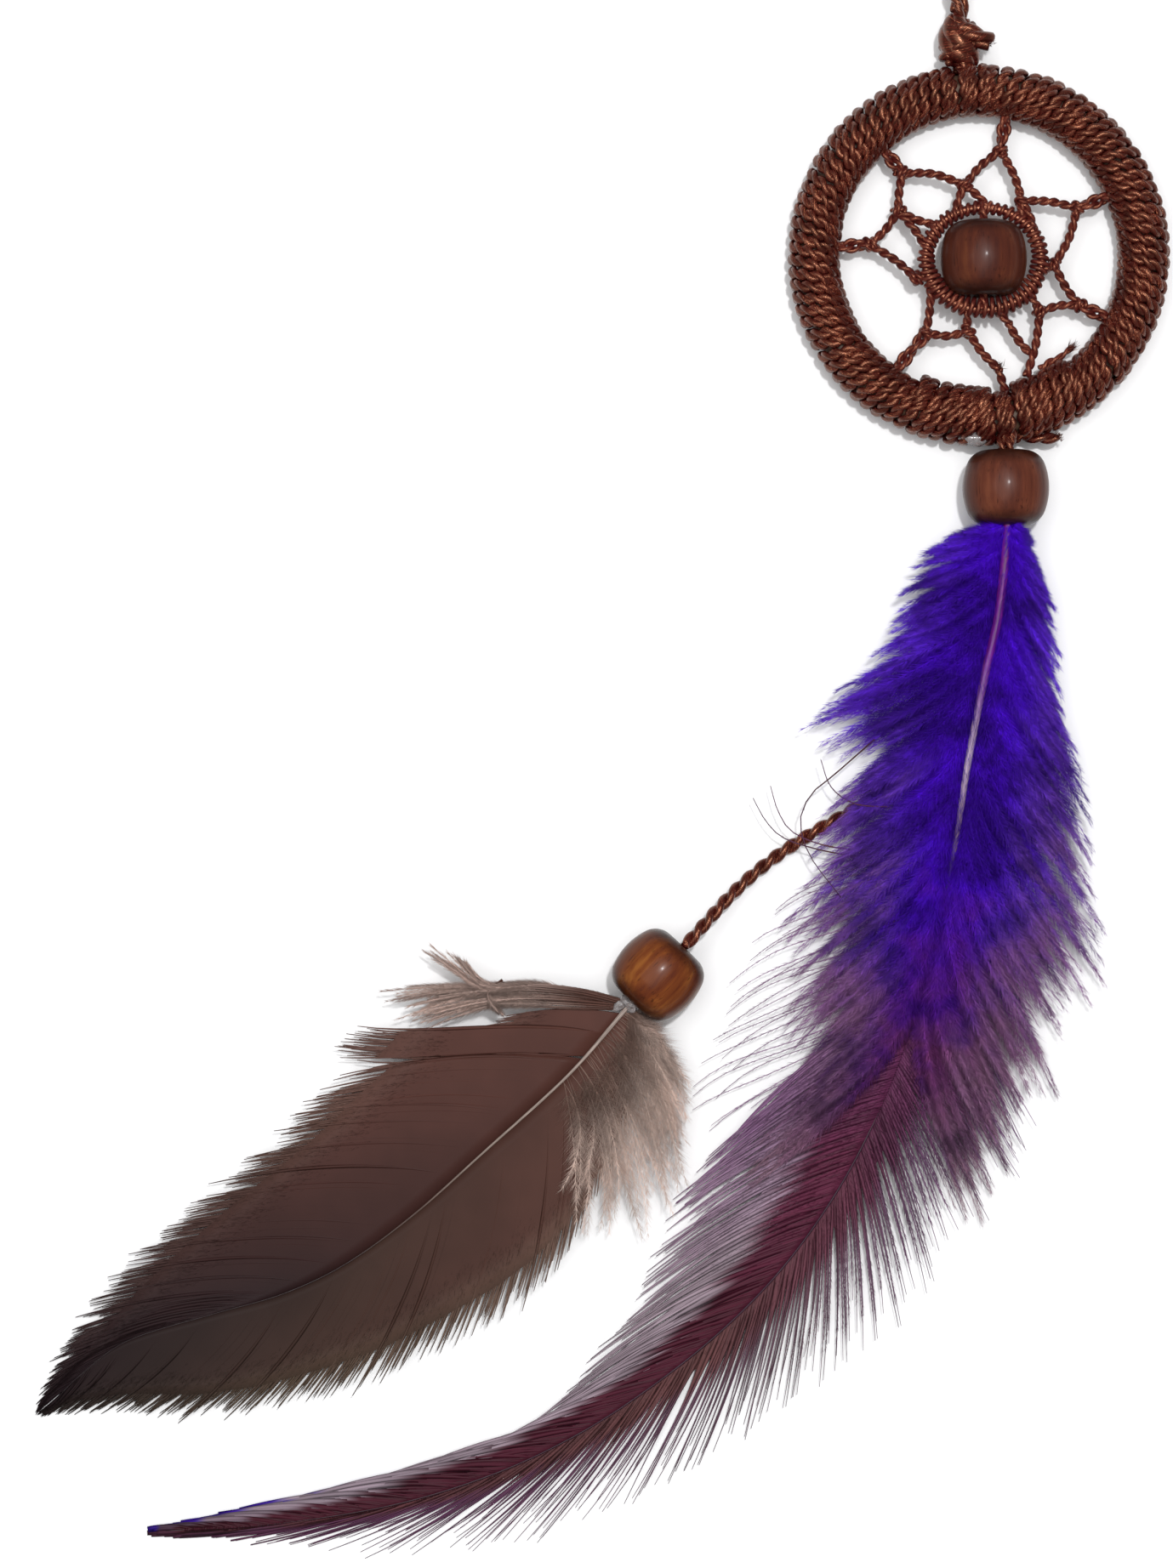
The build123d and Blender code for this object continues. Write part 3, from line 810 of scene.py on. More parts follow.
tail = Piece()
tail_line = curved([(40.9, 88.9, 4.5), (42.0, 88.7, 4.9), (43.2, 88.2, 4.7), (44.4, 87.8, 4.2)], 0.25)
rope(tail, tail_line, CORD_D * 1.45, 9.0, plies=3, sides=10)
frayed(tail, tail_line[-1], (0.9, 0.1, -0.2), 0.5, 0.5, 90, 73)
tail.build("knot_tail_cord", cord_brown, "hanger", "cord", "knot_tail")


# ---------------------------------------------------------------- tie below the hoop
tie = Piece()
three_turns(tie, TIE_ANGLE, 16, radius=2.8)
for offset in (-0.5, 0.5):
    down = [
        (TIE_X + offset, 42.0, 4.9),
        (TIE_X + offset * 0.9, 40.6, 5.1),
        (TIE_X + offset * 0.7, 39.0, 5.05),
        (TIE_X, 37.2, 5.05),
    ]
    rope(tie, curved(down, 0.25), 1.3, 3.6, phase=offset * 3)
tie.build("tie_turns", cord_brown, "tie", "cord", "tie_ring")

cut_end = Piece()
cut_line = curved([(47.6, 41.9, 3.0), (49.4, 41.5, 3.15), (51.0, 41.35, 3.2), (52.5, 41.5, 3.1)], 0.25)
rope(cut_end, cut_line, 1.35, 4.0)
frayed(cut_end, cut_line[-1], (1.0, 0.3, 0.0), 0.8, 0.35, 70, 74)
cut_end.build("tie_cut_end", cord_brown, "hoop", "cord", "tie_cord_end")

# Each lump: its middle, its radii, its seed and how far it is turned.
tie_lumps = [((43.0, 41.35, 4.3), (1.55, 0.75, 0.7), 81, 0.0), ((41.6, 41.5, 3.6), (0.8, 0.5, 0.6), 82, 0.0)]
upper_lumps = [((45.3, 30.75, 6.1), (0.8, 0.55, 0.6), 83, 0.0), ((46.6, 30.9, 6.0), (0.55, 0.4, 0.5), 84, 0.0)]
lower_lumps = [((2.35, -24.8, 5.4), (1.25, 0.85, 0.75), 85, -0.8), ((1.0, -25.2, 5.2), (0.9, 0.5, 0.5), 86, 0.6)]
for node, body, lumps in [
    ("tie_glue", "hoop", tie_lumps),
    ("upper_glue", "upper_pendant", upper_lumps),
    ("lower_glue", "lower_pendant", lower_lumps),
]:
    piece = Piece()
    for lump in lumps:
        blob(piece, *lump)
    piece.build(node + "_blob", glue, body, "glue", node)


# ---------------------------------------------------------------- beads
# The last number of each bead is how dark its painted shade below gets.
for node, turn, tones, roughness, coat, painted_underside_shade in [
    ("centre_bead", 0.0, [(0.04, 0.009, 0.006), (0.07, 0.017, 0.009), (0.12, 0.036, 0.015)], 0.36, 0.14, 0.95),
    ("upper_bead", 0.0, [(0.055, 0.013, 0.0075), (0.098, 0.026, 0.014), (0.16, 0.05, 0.025)], 0.34, 0.14, 0.6),
    ("lower_bead", -43.5, [(0.07, 0.013, 0.005), (0.14, 0.036, 0.009), (0.3, 0.11, 0.024)], 0.3, 0.18, 0.6),
]:
    finish(node, bead_material(node + "_wood", node, turn, *tones, roughness, coat, painted_underside_shade))


# ---------------------------------------------------------------- feathers
class Feather:
    """A feather's shaft as a line in its own plane, and how a point of that plane is placed in space."""

    def __init__(self, spine, place_at, length):
        self.spine = curved(np.array(spine, float), 0.5)
        self.along = distances(self.spine)
        self.place_at = place_at
        self.length = length

    def root(self, at):
        return np.stack([np.interp(at, self.along, self.spine[:, axis]) for axis in range(2)], axis=-1)

    def forward(self, at):
        return unit(self.root(at + 0.5) - self.root(at - 0.5))


def guided(feather, guides, count, by_tip, jitter, seed):
    """Spreads barbs over guide barbs (root x, y, tip x, y): where each starts on the shaft, and its tip."""
    draw = np.random.default_rng(seed)
    guides = np.array(guides, float)
    apart = np.linalg.norm(feather.spine[None] - guides[:, None, :2], axis=2)
    roots = feather.along[apart.argmin(axis=1)]
    step = by_tip * np.linalg.norm(np.diff(guides[:, 2:], axis=0), axis=1) + (1 - by_tip) * np.diff(roots)
    order = np.concatenate([[0.0], np.cumsum(np.abs(step))])
    spot = np.sort(np.linspace(0, order[-1], count) + draw.uniform(-jitter, jitter, count))
    tips = np.stack([np.interp(spot, order, guides[:, axis]) for axis in (2, 3)], axis=-1)
    return np.interp(spot, order, roots), tips


def barb_lines(feather, at, tip, seed, shorter, bow, clump, group, rows, lift, hook=0.0, stray=0.018):
    """Curved lines from the shaft to the tips, in the feather's plane, with the height as third number."""
    draw = np.random.default_rng(seed)
    size = len(at)
    root = feather.root(at)
    shrink = 1 - shorter * draw.uniform(0, 1, size) ** 1.5
    tip = root + (tip - root) * shrink[:, None]
    tip = tip + draw.normal(0, stray, (size, 2)) * np.linalg.norm(tip - root, axis=1, keepdims=True)
    start = 0
    while clump and start < size:
        stop = start + int(draw.integers(max(2, group // 2), group + 1))
        middle = tip[start:stop].mean(axis=0)
        tip[start:stop] += (middle - tip[start:stop]) * clump
        start = stop
    run = tip - root
    side = np.stack([-run[:, 1], run[:, 0]], axis=1)
    forward = feather.forward(at)
    hand = np.sign((run[:, 1] * forward[:, 0] - run[:, 0] * forward[:, 1]).mean())
    outward = hand * np.stack([-forward[:, 1], forward[:, 0]], axis=1)
    side = side * np.sign((side * (outward - forward)).sum(axis=1, keepdims=True))
    control = root + run * 0.42 + side * (bow + draw.normal(0, stray, (size, 1)))
    t = np.linspace(0, 1, rows)[None, :, None]
    flat = (1 - t) ** 2 * root[:, None] + 2 * t * (1 - t) * control[:, None] + t**2 * tip[:, None]
    flat = flat - side[:, None] * hook * t**5
    height = np.broadcast_to(lift(t[..., 0], at[:, None], draw), flat.shape[:2])
    return np.dstack([flat, height]), draw.uniform(0, 1, size)


BUNDLE_ROWS = 14


def bundle(path, count, spread, seed, shorter=0.4, level=0.25):
    """Barbs that follow one path in space and fan out from it: spread gives their half width at each row."""
    draw = np.random.default_rng(seed)
    line = evenly(curved(path, 0.2), 0.2)
    along = distances(line) / distances(line)[-1]
    t = np.linspace(0, 1, BUNDLE_ROWS)[None, :] * (1 - shorter * draw.uniform(0, 1, (count, 1)))
    flat = np.stack([np.interp(t, along, line[:, axis]) for axis in range(3)], axis=2)
    tangent = unit(np.gradient(flat, axis=1))
    half = np.interp(t, np.linspace(0, 1, len(spread)), spread)
    flat += np.cross(tangent, UP) * (half * draw.uniform(-1, 1, (count, 1)))[..., None]
    flat[..., 2] += draw.normal(0, level, (count, 1)) * np.minimum(t * 3, 1)
    return flat, draw.uniform(0, 1, count)


class Barbs:
    """Some of a feather's barbs: where each starts on the shaft, its line and its own number of chance."""

    def __init__(self, piece, feather, at, lines, chance):
        self.piece = piece
        self.feather = feather
        self.at = at
        self.lines = lines
        self.chance = chance

    def before(self, limit):
        """The barbs that start before a place on the shaft."""
        kept = self.at < limit
        return Barbs(self.piece, self.feather, self.at[kept], self.lines[kept], self.chance[kept])

    def tubes(self, wide, thick, sides=4):
        """Closed, tapered barbs along the lines; wide and thick are millimetres for each point."""
        count, rows = self.lines.shape[:2]
        points = self.feather.place_at(self.lines)
        tangent = unit(np.gradient(points, axis=1))
        across = unit(np.cross(tangent, UP))
        upwards = np.cross(across, tangent)
        turn = np.arange(sides) * TAU / sides
        wide = np.broadcast_to(wide, (count, rows))[:, :, None, None] / 2
        thick = np.broadcast_to(thick, (count, rows))[:, :, None, None] / 2
        ring = wide * np.cos(turn)[:, None] * across[:, :, None]
        ring = ring + thick * np.sin(turn)[:, None] * upwards[:, :, None]
        verts = points[:, :, None] + ring
        marks = np.empty(verts.shape)
        marks[..., 0] = (self.at / self.feather.length)[:, None, None]
        marks[..., 1] = np.linspace(0, 1, rows)[None, :, None]
        marks[..., 2] = self.chance[:, None, None]
        corner = np.arange(sides)
        after = np.roll(corner, -1)
        first = (np.arange(count)[:, None] * rows + np.arange(rows - 1)[None, :])[:, :, None] * sides
        quads = np.stack([first + corner, first + after, first + sides + after, first + sides + corner], axis=3)
        starts = np.arange(count)[:, None] * rows * sides
        ends = [starts + corner[::-1], starts + (rows - 1) * sides + corner]
        self.piece.add(verts, [quads.reshape(-1, 4), *ends], marks)

    def hairs(self, each, reach, width, spread, start, stop, seed):
        """Barbules, the fluff: fine hairs on both sides of each barb."""
        draw = np.random.default_rng(seed)
        count, rows = self.lines.shape[:2]
        points = self.feather.place_at(self.lines)
        t = draw.uniform(start, stop, (count, each))
        place_on = t * (rows - 1)
        low = np.minimum(place_on.astype(int), rows - 2)
        part = (place_on - low)[..., None]
        barb = np.arange(count)[:, None]
        base = points[barb, low] * (1 - part) + points[barb, low + 1] * part
        tangent = unit(points[barb, low + 1] - points[barb, low])
        across = unit(np.cross(tangent, UP))
        way = np.where(draw.uniform(0, 1, (count, each, 1)) < 0.5, -1.0, 1.0)
        lean = spread * draw.uniform(0.5, 1.4, (count, each, 1)) * (1.1 - 0.55 * t[..., None])
        direction = np.cos(lean) * tangent + way * np.sin(lean) * across
        direction[..., 2] += draw.normal(0, 0.2, (count, each))
        taper = np.interp(t, [0, 0.15, 0.7, 1.0], [0.8, 1.0, 0.9, 0.4])
        size = np.broadcast_to(reach, (count,))[:, None] * taper * draw.uniform(0.6, 1.15, (count, each))
        hair = unit(direction) * size[..., None]
        end = base + hair
        hair[..., 2] += np.maximum(0.06 - end[..., 2], 0)
        on_shaft = np.broadcast_to((self.at / self.feather.length)[:, None], t.shape)
        which = np.broadcast_to(self.chance[:, None], t.shape)
        base_marks = np.stack([on_shaft, t, which], axis=2).reshape(-1, 3)
        tip_marks = base_marks + np.array([0, 0.15, 0.0])
        needles(self.piece, base.reshape(-1, 3), hair.reshape(-1, 3), width, base_marks, tip_marks)


def grown(piece, feather, guides, spread, seed, *shape, longer=0.0, **more):
    """Barbs spread over guide barbs, each longer by a share of its reach.

    spread is guided's count, by_tip and jitter, and shape and more are what barb_lines takes after the seed.
    """
    at, tips = guided(feather, guides, *spread, seed)
    tips = tips + longer * (tips - feather.root(at))
    return Barbs(piece, feather, at, *barb_lines(feather, at, tips, seed + 1, *shape, **more))


def sheet(piece, feather, guides, stop, bow, level, droop, hook=0.0):
    """The closed part of a vane, where the barbs cling together: a thin closed film under the barbs."""
    count, rows, half = 90, 12, 0.02
    at, tips = guided(feather, guides, count, 0.2, 0.0, 1)
    lines = barb_lines(feather, at, tips, 1, 0, bow, 0, 1, rows, flat_lift(level, droop, 0), hook, 0)[0]
    used = max(3, int(round(stop * (rows - 1))) + 1)
    grid = feather.place_at(lines[:, :used])
    points = np.stack([grid + UP * half, grid - UP * half], axis=2)
    marks = np.empty(points.shape)
    marks[..., 0] = (at / feather.length)[:, None, None]
    marks[..., 1] = np.linspace(0, 1, rows)[None, :used, None]
    marks[..., 2] = 0.5
    index = np.arange(count * used * 2).reshape(count, used, 2)
    a, b, c, d = index[:-1, :-1], index[1:, :-1], index[1:, 1:], index[:-1, 1:]
    top = np.stack([a[..., 0], b[..., 0], c[..., 0], d[..., 0]], axis=-1).reshape(-1, 4)
    under = np.stack([d[..., 1], c[..., 1], b[..., 1], a[..., 1]], axis=-1).reshape(-1, 4)
    rim = np.concatenate([index[:, 0], index[-1, 1:], index[-2::-1, -1], index[0, -2:0:-1]])
    after = np.roll(rim, -1, axis=0)
    wall = np.stack([after[:, 0], rim[:, 0], rim[:, 1], after[:, 1]], axis=1)
    piece.add(points, [top, under, wall], marks)


def spacing(lines):
    """The distance from each point of a barb to the next barb, evened out."""
    gap = np.linalg.norm(np.diff(lines[..., :2], axis=0), axis=2)
    gap = np.vstack([gap, gap[-1:]])
    for _ in range(3):
        gap = (gap + np.roll(gap, 1, axis=0) + np.roll(gap, -1, axis=0)) / 3
    return gap


def shaft(feather, sizes, rise, stop, node, material, body):
    """A feather's quill and rachis: one tapered, slightly flattened rod.

    sizes are places along it and its radii there, and rise is places and its heights over the feather's plane.
    """
    piece = Piece()
    at = np.linspace(0.0, stop, 260)
    line = feather.place_at(np.column_stack([feather.root(at), np.interp(at, *rise)]))
    normals, binormals = sides_of(line)
    size = np.interp(at, *sizes)
    sides = 12
    turn = np.arange(sides) * TAU / sides
    marks = np.empty((len(at), sides, 3))
    marks[..., 0] = (at / feather.length)[:, None]
    marks[..., 1] = np.cos(turn)
    marks[..., 2] = np.sin(turn)
    tube(piece, line, normals, binormals, size, size * 0.85, sides, marks=marks)
    piece.build(node + "_rod", material, body, node, node)


def flat_lift(level, droop, loose):
    """Heights for a vane's barbs: level at the shaft, drooping to the edge, each a little different."""

    def lift(t, at, draw):
        return level - droop * t + draw.normal(0, loose, at.shape) * np.minimum(t * 3, 1)

    return lift


def down_lift(level, arch):
    """Heights for a layer of down: from the shaft up or down to its level, and arched."""

    def lift(t, at, draw):
        own = level + draw.normal(0, 0.15, at.shape)
        return 0.1 + (own - 0.1) * np.minimum(t * 4, 1) + arch * np.sin(math.pi * t)

    return lift


def tuft_reach(seed, count):
    """How much farther out than others each barb reaches, in tufts of about eight."""
    tuft = 8
    knots = np.arange(0, count + tuft, tuft)
    reach = np.random.default_rng(seed + 5).uniform(-1.2, 1.3, len(knots))
    return np.interp(np.arange(count), knots, reach)[:, None]


# Purple feather. It lies along a plane that falls from the upper bead's mouth to the floor.
PURPLE_SLOPE = 0.0456
PURPLE = ("upper_pendant", "purple_feather")


def purple_place(plane):
    made = np.array(plane, float)
    made[..., 2] = 5.9 + (plane[..., 1] - 31.07) * PURPLE_SLOPE + plane[..., 2]
    made[..., 2] = np.maximum(made[..., 2], 0.12)
    return made


purple_spine = [
    (46.4, 34.0),
    (46.4, 30.0),
    (45.4, 20.7),
    (43.8, 13.5),
    (41.9, 3.5),
    (40.1, -8.0),
    (37.5, -20.0),
    (33.9, -32.0),
    (29.8, -41.5),
    (25.2, -49.5),
    (19.6, -57.0),
    (12.8, -63.9),
    (4.8, -70.3),
    (-3.8, -75.9),
    (-13.7, -80.6),
    (-25.7, -84.3),
    (-40.2, -86.6),
    (-53.5, -87.4),
]
purple = Feather(purple_spine, purple_place, 178.0)
# Guide barbs: x and y of the root on the shaft, then x and y of the tip.
purple_left_down = [
    (46.4, 31.5, 40.5, 30.2),
    (46.4, 31.0, 36.0, 27.5),
    (46.3, 30.0, 34.0, 24.0),
    (46.1, 28.0, 31.8, 18.5),
    (45.8, 25.0, 29.5, 14.5),
    (45.5, 22.0, 26.0, 10.5),
    (45.2, 20.0, 22.0, 7.0),
    (44.7, 17.5, 24.5, 3.5),
    (44.2, 15.0, 26.6, -0.5),
    (43.8, 13.0, 25.0, -4.0),
    (43.2, 10.0, 22.8, -8.0),
    (42.6, 7.0, 21.3, -12.0),
    (42.0, 4.0, 20.5, -17.0),
    (41.3, 0.0, 20.5, -22.5),
    (40.6, -4.5, 21.0, -28.0),
    (39.9, -9.0, 21.0, -34.0),
    (39.0, -13.0, 19.5, -39.5),
    (37.8, -18.5, 17.0, -44.0),
    (36.2, -24.5, 14.5, -49.0),
]
purple_right_down = [
    (46.4, 31.5, 48.4, 30.6),
    (46.4, 31.0, 50.2, 26.0),
    (46.4, 30.5, 52.4, 20.5),
    (46.3, 29.5, 53.3, 15.5),
    (46.1, 27.5, 53.5, 9.5),
    (45.8, 24.5, 54.2, 4.5),
    (45.5, 22.0, 56.2, 0.5),
    (45.2, 20.0, 57.0, -3.5),
    (44.6, 17.0, 57.3, -8.5),
    (44.0, 14.0, 57.8, -13.0),
    (43.4, 11.0, 58.2, -17.5),
    (42.6, 7.0, 57.8, -22.0),
    (41.9, 3.0, 56.5, -27.5),
    (41.2, -1.0, 54.6, -32.0),
    (40.6, -5.0, 52.4, -36.5),
    (39.9, -9.0, 50.4, -40.5),
    (39.1, -13.0, 49.0, -45.5),
    (37.8, -19.0, 46.0, -50.5),
    (36.3, -24.5, 42.0, -54.0),
]
purple_left_vane = [
    (36.5, -24.0, 12.5, -42.0),
    (34.5, -30.0, 9.5, -46.0),
    (32.0, -37.0, 6.5, -49.5),
    (29.8, -41.5, 4.5, -54.5),
    (27.5, -45.5, 2.4, -59.5),
    (25.2, -49.5, 0.0, -63.5),
    (22.5, -53.3, -2.5, -67.3),
    (19.6, -57.0, -5.4, -71.0),
    (16.0, -60.8, -8.5, -74.6),
    (12.8, -63.9, -11.5, -77.2),
    (8.8, -67.2, -15.5, -79.5),
    (4.8, -70.3, -20.0, -81.4),
    (0.5, -73.2, -25.5, -83.0),
    (-3.8, -75.9, -31.0, -83.9),
    (-13.7, -80.6, -39.0, -85.0),
    (-25.7, -84.3, -46.0, -85.7),
    (-40.2, -86.6, -52.0, -86.8),
    (-50.0, -87.3, -55.0, -87.3),
]
purple_right_vane = [
    (38.0, -18.0, 50.5, -40.0),
    (35.5, -27.5, 48.3, -46.5),
    (33.5, -33.0, 43.5, -52.5),
    (31.9, -37.0, 38.8, -57.5),
    (29.5, -42.0, 34.8, -62.5),
    (28.0, -45.0, 29.8, -67.0),
    (25.0, -49.8, 23.7, -71.0),
    (22.5, -53.3, 18.8, -74.5),
    (19.0, -57.8, 13.5, -78.5),
    (16.0, -60.8, 8.0, -81.3),
    (12.0, -64.7, 2.5, -84.0),
    (8.5, -67.6, -3.6, -86.5),
    (4.5, -70.5, -8.5, -88.5),
    (0.5, -73.2, -14.5, -89.6),
    (-3.8, -75.9, -19.7, -90.2),
    (-8.0, -78.0, -26.0, -90.6),
    (-15.0, -81.0, -35.0, -89.8),
    (-27.0, -84.5, -46.0, -88.5),
    (-42.0, -86.8, -52.5, -87.8),
    (-50.0, -87.3, -55.0, -87.6),
]
purple_whiskers = [
    (40.6, -4.5, 17.0, -10.5),
    (39.9, -9.0, 11.6, -18.3),
    (39.0, -13.0, 11.6, -22.5),
    (38.0, -17.5, 9.6, -27.5),
    (37.0, -21.5, 7.5, -31.5),
    (36.0, -25.0, 8.2, -37.0),
    (35.0, -28.5, 7.8, -42.0),
    (33.8, -32.0, 7.0, -46.5),
]

# Single dark barbs that stand out of the down on its left, near the lower cord.
purple_hairs = [
    [
        (31.0, 6.0, 4.6),
        (26.3, 1.9, 4.8),
        (23.5, -0.5, 4.7),
        (22.3, -3.7, 4.6),
        (23.5, -7.7, 4.5),
        (27.1, -12.5, 4.3),
    ],
    [(30.0, -8.0, 4.4), (24.5, -7.0, 4.3), (20.3, -5.6, 4.0), (18.2, -3.6, 3.8), (16.7, -0.9, 3.6)],
    [(31.0, -7.0, 4.4), (25.5, -6.4, 4.3), (21.5, -4.8, 4.1), (19.8, -2.4, 3.9), (18.9, 0.6, 3.7)],
    [(33.0, -2.0, 4.6), (28.6, -1.6, 4.8), (25.8, 0.4, 4.6), (24.6, 3.6, 4.5)],
]
# Lines that are already placed in space.
in_space = Feather([(0, 0), (1, 0)], lambda lines: lines, 1.0)

purple_quill = quill_material(
    "purple_quill",
    [
        (0.0, 0.15, 0.01, 0.15),
        (0.1, 0.12, 0.006, 0.19),
        (0.13, 0.15, 0.05, 0.22),
        # A painted glint: this pale stop along the shaft stands for a highlight.
        (0.17, 0.4, 0.3, 0.4),
        (0.22, 0.2, 0.11, 0.22),
        (0.25, 0.04, 0.012, 0.07),
        (0.4, 0.03, 0.006, 0.02),
        (1.0, 0.025, 0.005, 0.01),
    ],
    0.28,
)
purple_widths = ([0, 14, 40, 60, 80, 130, 178], [0.66, 0.56, 0.36, 0.18, 0.13, 0.12, 0.06])
purple_rise = ([0, 36, 50, 66, 80, 178], [0.55, 0.5, 0.1, -0.1, 0.15, 0.1])
shaft(purple, purple_widths, purple_rise, 177.0, "purple_shaft", purple_quill, "upper_pendant")

purple_down_material = feather_material(
    "purple_down",
    [
        (0.0, 0.095, 0.004, 0.72),
        (0.5, 0.1, 0.005, 0.74),
        (0.64, 0.14, 0.014, 0.42),
        (0.76, 0.21, 0.045, 0.2),
        (1.0, 0.22, 0.06, 0.12),
    ],
    [
        (0.0, 0.15, 0.025, 0.8),
        (0.25, 0.17, 0.04, 0.74),
        (0.42, 0.22, 0.08, 0.5),
        (0.62, 0.33, 0.15, 0.36),
        (1.0, 0.36, 0.21, 0.26),
    ],
    (0.45, 1.05),
    0.75,
    (125.0, 0.36, 0.56, 0.5),
    0.15,
    heights=(0.032, -0.055),
)
purple_left_material = feather_material(
    "purple_closed_vane",
    [
        (0.35, 0.13, 0.03, 0.1),
        (0.44, 0.1, 0.018, 0.045),
        (0.55, 0.062, 0.009, 0.021),
        (1.0, 0.045, 0.007, 0.014),
    ],
    [(0.35, 0.22, 0.11, 0.22), (0.5, 0.3, 0.23, 0.27), (0.85, 0.26, 0.2, 0.24), (1.0, 0.04, 0.006, 0.03)],
    (0.28, 0.48),
    0.95,
    (110.0, 0.3, 0.6, 0.8),
    0.12,
    rim=(0.03, 0.005, 0.22),
)
purple_right_material = feather_material(
    "purple_open_vane",
    [(0.3, 0.13, 0.03, 0.12), (0.46, 0.12, 0.035, 0.06), (0.6, 0.11, 0.045, 0.045), (1.0, 0.06, 0.012, 0.02)],
    [(0.3, 0.18, 0.08, 0.2), (0.5, 0.13, 0.075, 0.1), (0.75, 0.1, 0.035, 0.08), (1.0, 0.06, 0.015, 0.03)],
    (0.25, 0.6),
    0.8,
    (110.0, 0.3, 0.6, 0.75),
    0.12,
)

# The layers of down, from the floor up: level, arch, how much shorter the barbs get, and bow.
purple_layers = [(-0.5, 0.0, 0.3, -0.06), (0.1, 0.3, 0.5, -0.13), (0.5, 0.5, 0.72, -0.16)]
for name, guides, farther, seed in [
    ("left", purple_left_down, 0.08, 100),
    ("right", purple_right_down, 0.0, 200),
]:
    for layer, (level, arch, shorter, bow) in enumerate(purple_layers):
        down = Piece()
        own = seed + 10 * layer
        longer = farther + 0.09 * tuft_reach(own, 200)
        shape = (shorter, bow, 0.8, 9, 10, down_lift(level, arch))
        barbs = grown(down, purple, guides, (200, 0.75, 0.4), own, *shape, longer=longer)
        fade = np.linspace(1, 0.35, 10)
        barbs.tubes(0.09 * fade, 0.07 * fade, sides=3)
        reach = np.interp(barbs.at, [0, 20, 50, 67], [1.9, 2.8, 2.8, 2.2])
        barbs.hairs(170, reach, 0.05, 0.62, 0.0, 0.86, own + 2)
        barbs.hairs(30, 2.4, 0.04, 0.45, 0.7, 1.0, own + 3)
        label = f"purple_down_{name}_layer_{layer + 1}"
        down.build(label, purple_down_material, *PURPLE, f"purple_down_{name}")

left_vane = Piece()
sheet(left_vane, purple, purple_left_vane[2:], 0.42, 0.1, 0.1, 0.3)
shape = (0.3, 0.1, 0.22, 4, 16, flat_lift(0.15, 0.3, 0.02))
barbs = grown(left_vane, purple, purple_left_vane, (440, 0.15, 0.05), 130, *shape)
closed = np.clip(spacing(barbs.lines) * 1.5, 0.12, 0.6)
tip_place = np.interp(barbs.at, [110, 150], [0.0, 1.0])[:, None]
fade = np.interp(np.linspace(0, 1, 16), [0, 0.4, 0.6, 0.85, 1.0], [1.0, 1.0, 0.5, 0.32, 0.14])
barbs.tubes(closed * (fade[None] * (1 - tip_place) + tip_place), 0.05)
soft = barbs.before(90)
soft.hairs(90, np.interp(soft.at, [50, 72, 90], [2.0, 1.3, 0.5]), 0.05, 0.45, 0.0, 0.8, 132)
shape = (0.3, -0.13, 0.1, 3, 18, flat_lift(0.0, 0.6, 0.2), 0.14)
barbs = grown(left_vane, purple, purple_whiskers, (34, 0.6, 0.35), 133, *shape)
ripple = np.random.default_rng(136).uniform(0, TAU, (34, 1)) + np.linspace(0, 9, 18)[None]
barbs.lines[..., 1] += 0.45 * np.sin(ripple) * np.linspace(0, 1, 18) ** 1.5
barbs.tubes(np.linspace(0.16, 0.06, 18), 0.08)
barbs.hairs(120, 1.0, 0.04, 0.6, 0.25, 0.97, 135)
left_vane.build("purple_vane_left_barbs", purple_left_material, *PURPLE, "purple_vane_left")

right_vane = Piece()
sheet(right_vane, purple, purple_right_vane[3:], 0.2, 0.03, 0.05, 0.3)
shape = (0.4, 0.03, 0.14, 4, 14, flat_lift(0.1, 0.3, 0.08))
barbs = grown(right_vane, purple, purple_right_vane, (310, 0.3, 0.09), 230, *shape)
closed = np.clip(spacing(barbs.lines) * 1.2, 0.1, 0.6)
tip_place = np.interp(barbs.at, [146, 168], [0.0, 1.0])[:, None]
fade = np.interp(np.linspace(0, 1, 14), [0, 0.15, 0.35, 0.6, 1.0], [1.0, 0.9, 0.42, 0.26, 0.1])
barbs.tubes(closed * (fade[None] * (1 - tip_place) + tip_place), 0.09)
soft = barbs.before(92)
soft.hairs(120, np.interp(soft.at, [45, 70, 92], [2.2, 1.6, 0.5]), 0.05, 0.4, 0.0, 0.85, 232)
barbs.hairs(50, 0.5, 0.05, 0.5, 0.05, 0.36, 233)
right_vane.build("purple_vane_right_barbs", purple_right_material, *PURPLE, "purple_vane_right")

strays = Piece()
for number, path in enumerate(purple_hairs):
    line = bundle(path, 1, [0.1], 140 + number, shorter=0.0, level=0.0)
    hair = Barbs(strays, in_space, np.array([0.8]), *line)
    hair.tubes(np.linspace(0.2, 0.09, BUNDLE_ROWS), 0.12)
    hair.hairs(40, 0.5, 0.035, 0.6, 0.3, 1.0, 145 + number)
strays.build("purple_stray_barbs", purple_right_material, *PURPLE, "purple_vane_left")

# Brown feather. Its plane runs from the lower bead's lower mouth to the floor at its tip.
BROWN_TURN = math.radians(-145.2)
BROWN_SLOPE = 0.053
BROWN = ("lower_pendant", "brown_feather")
brown_forward = unit(np.array([math.cos(BROWN_TURN), math.sin(BROWN_TURN), -BROWN_SLOPE]))
brown_side = np.array([-math.sin(BROWN_TURN), math.cos(BROWN_TURN), 0.0])
brown_origin = np.array([2.57, -24.69, 5.05])


def brown_place(plane):
    made = brown_origin + plane[..., :1] * brown_forward + plane[..., 1:2] * brown_side + plane[..., 2:] * UP
    made[..., 2] = np.maximum(made[..., 2], 0.12)
    return made


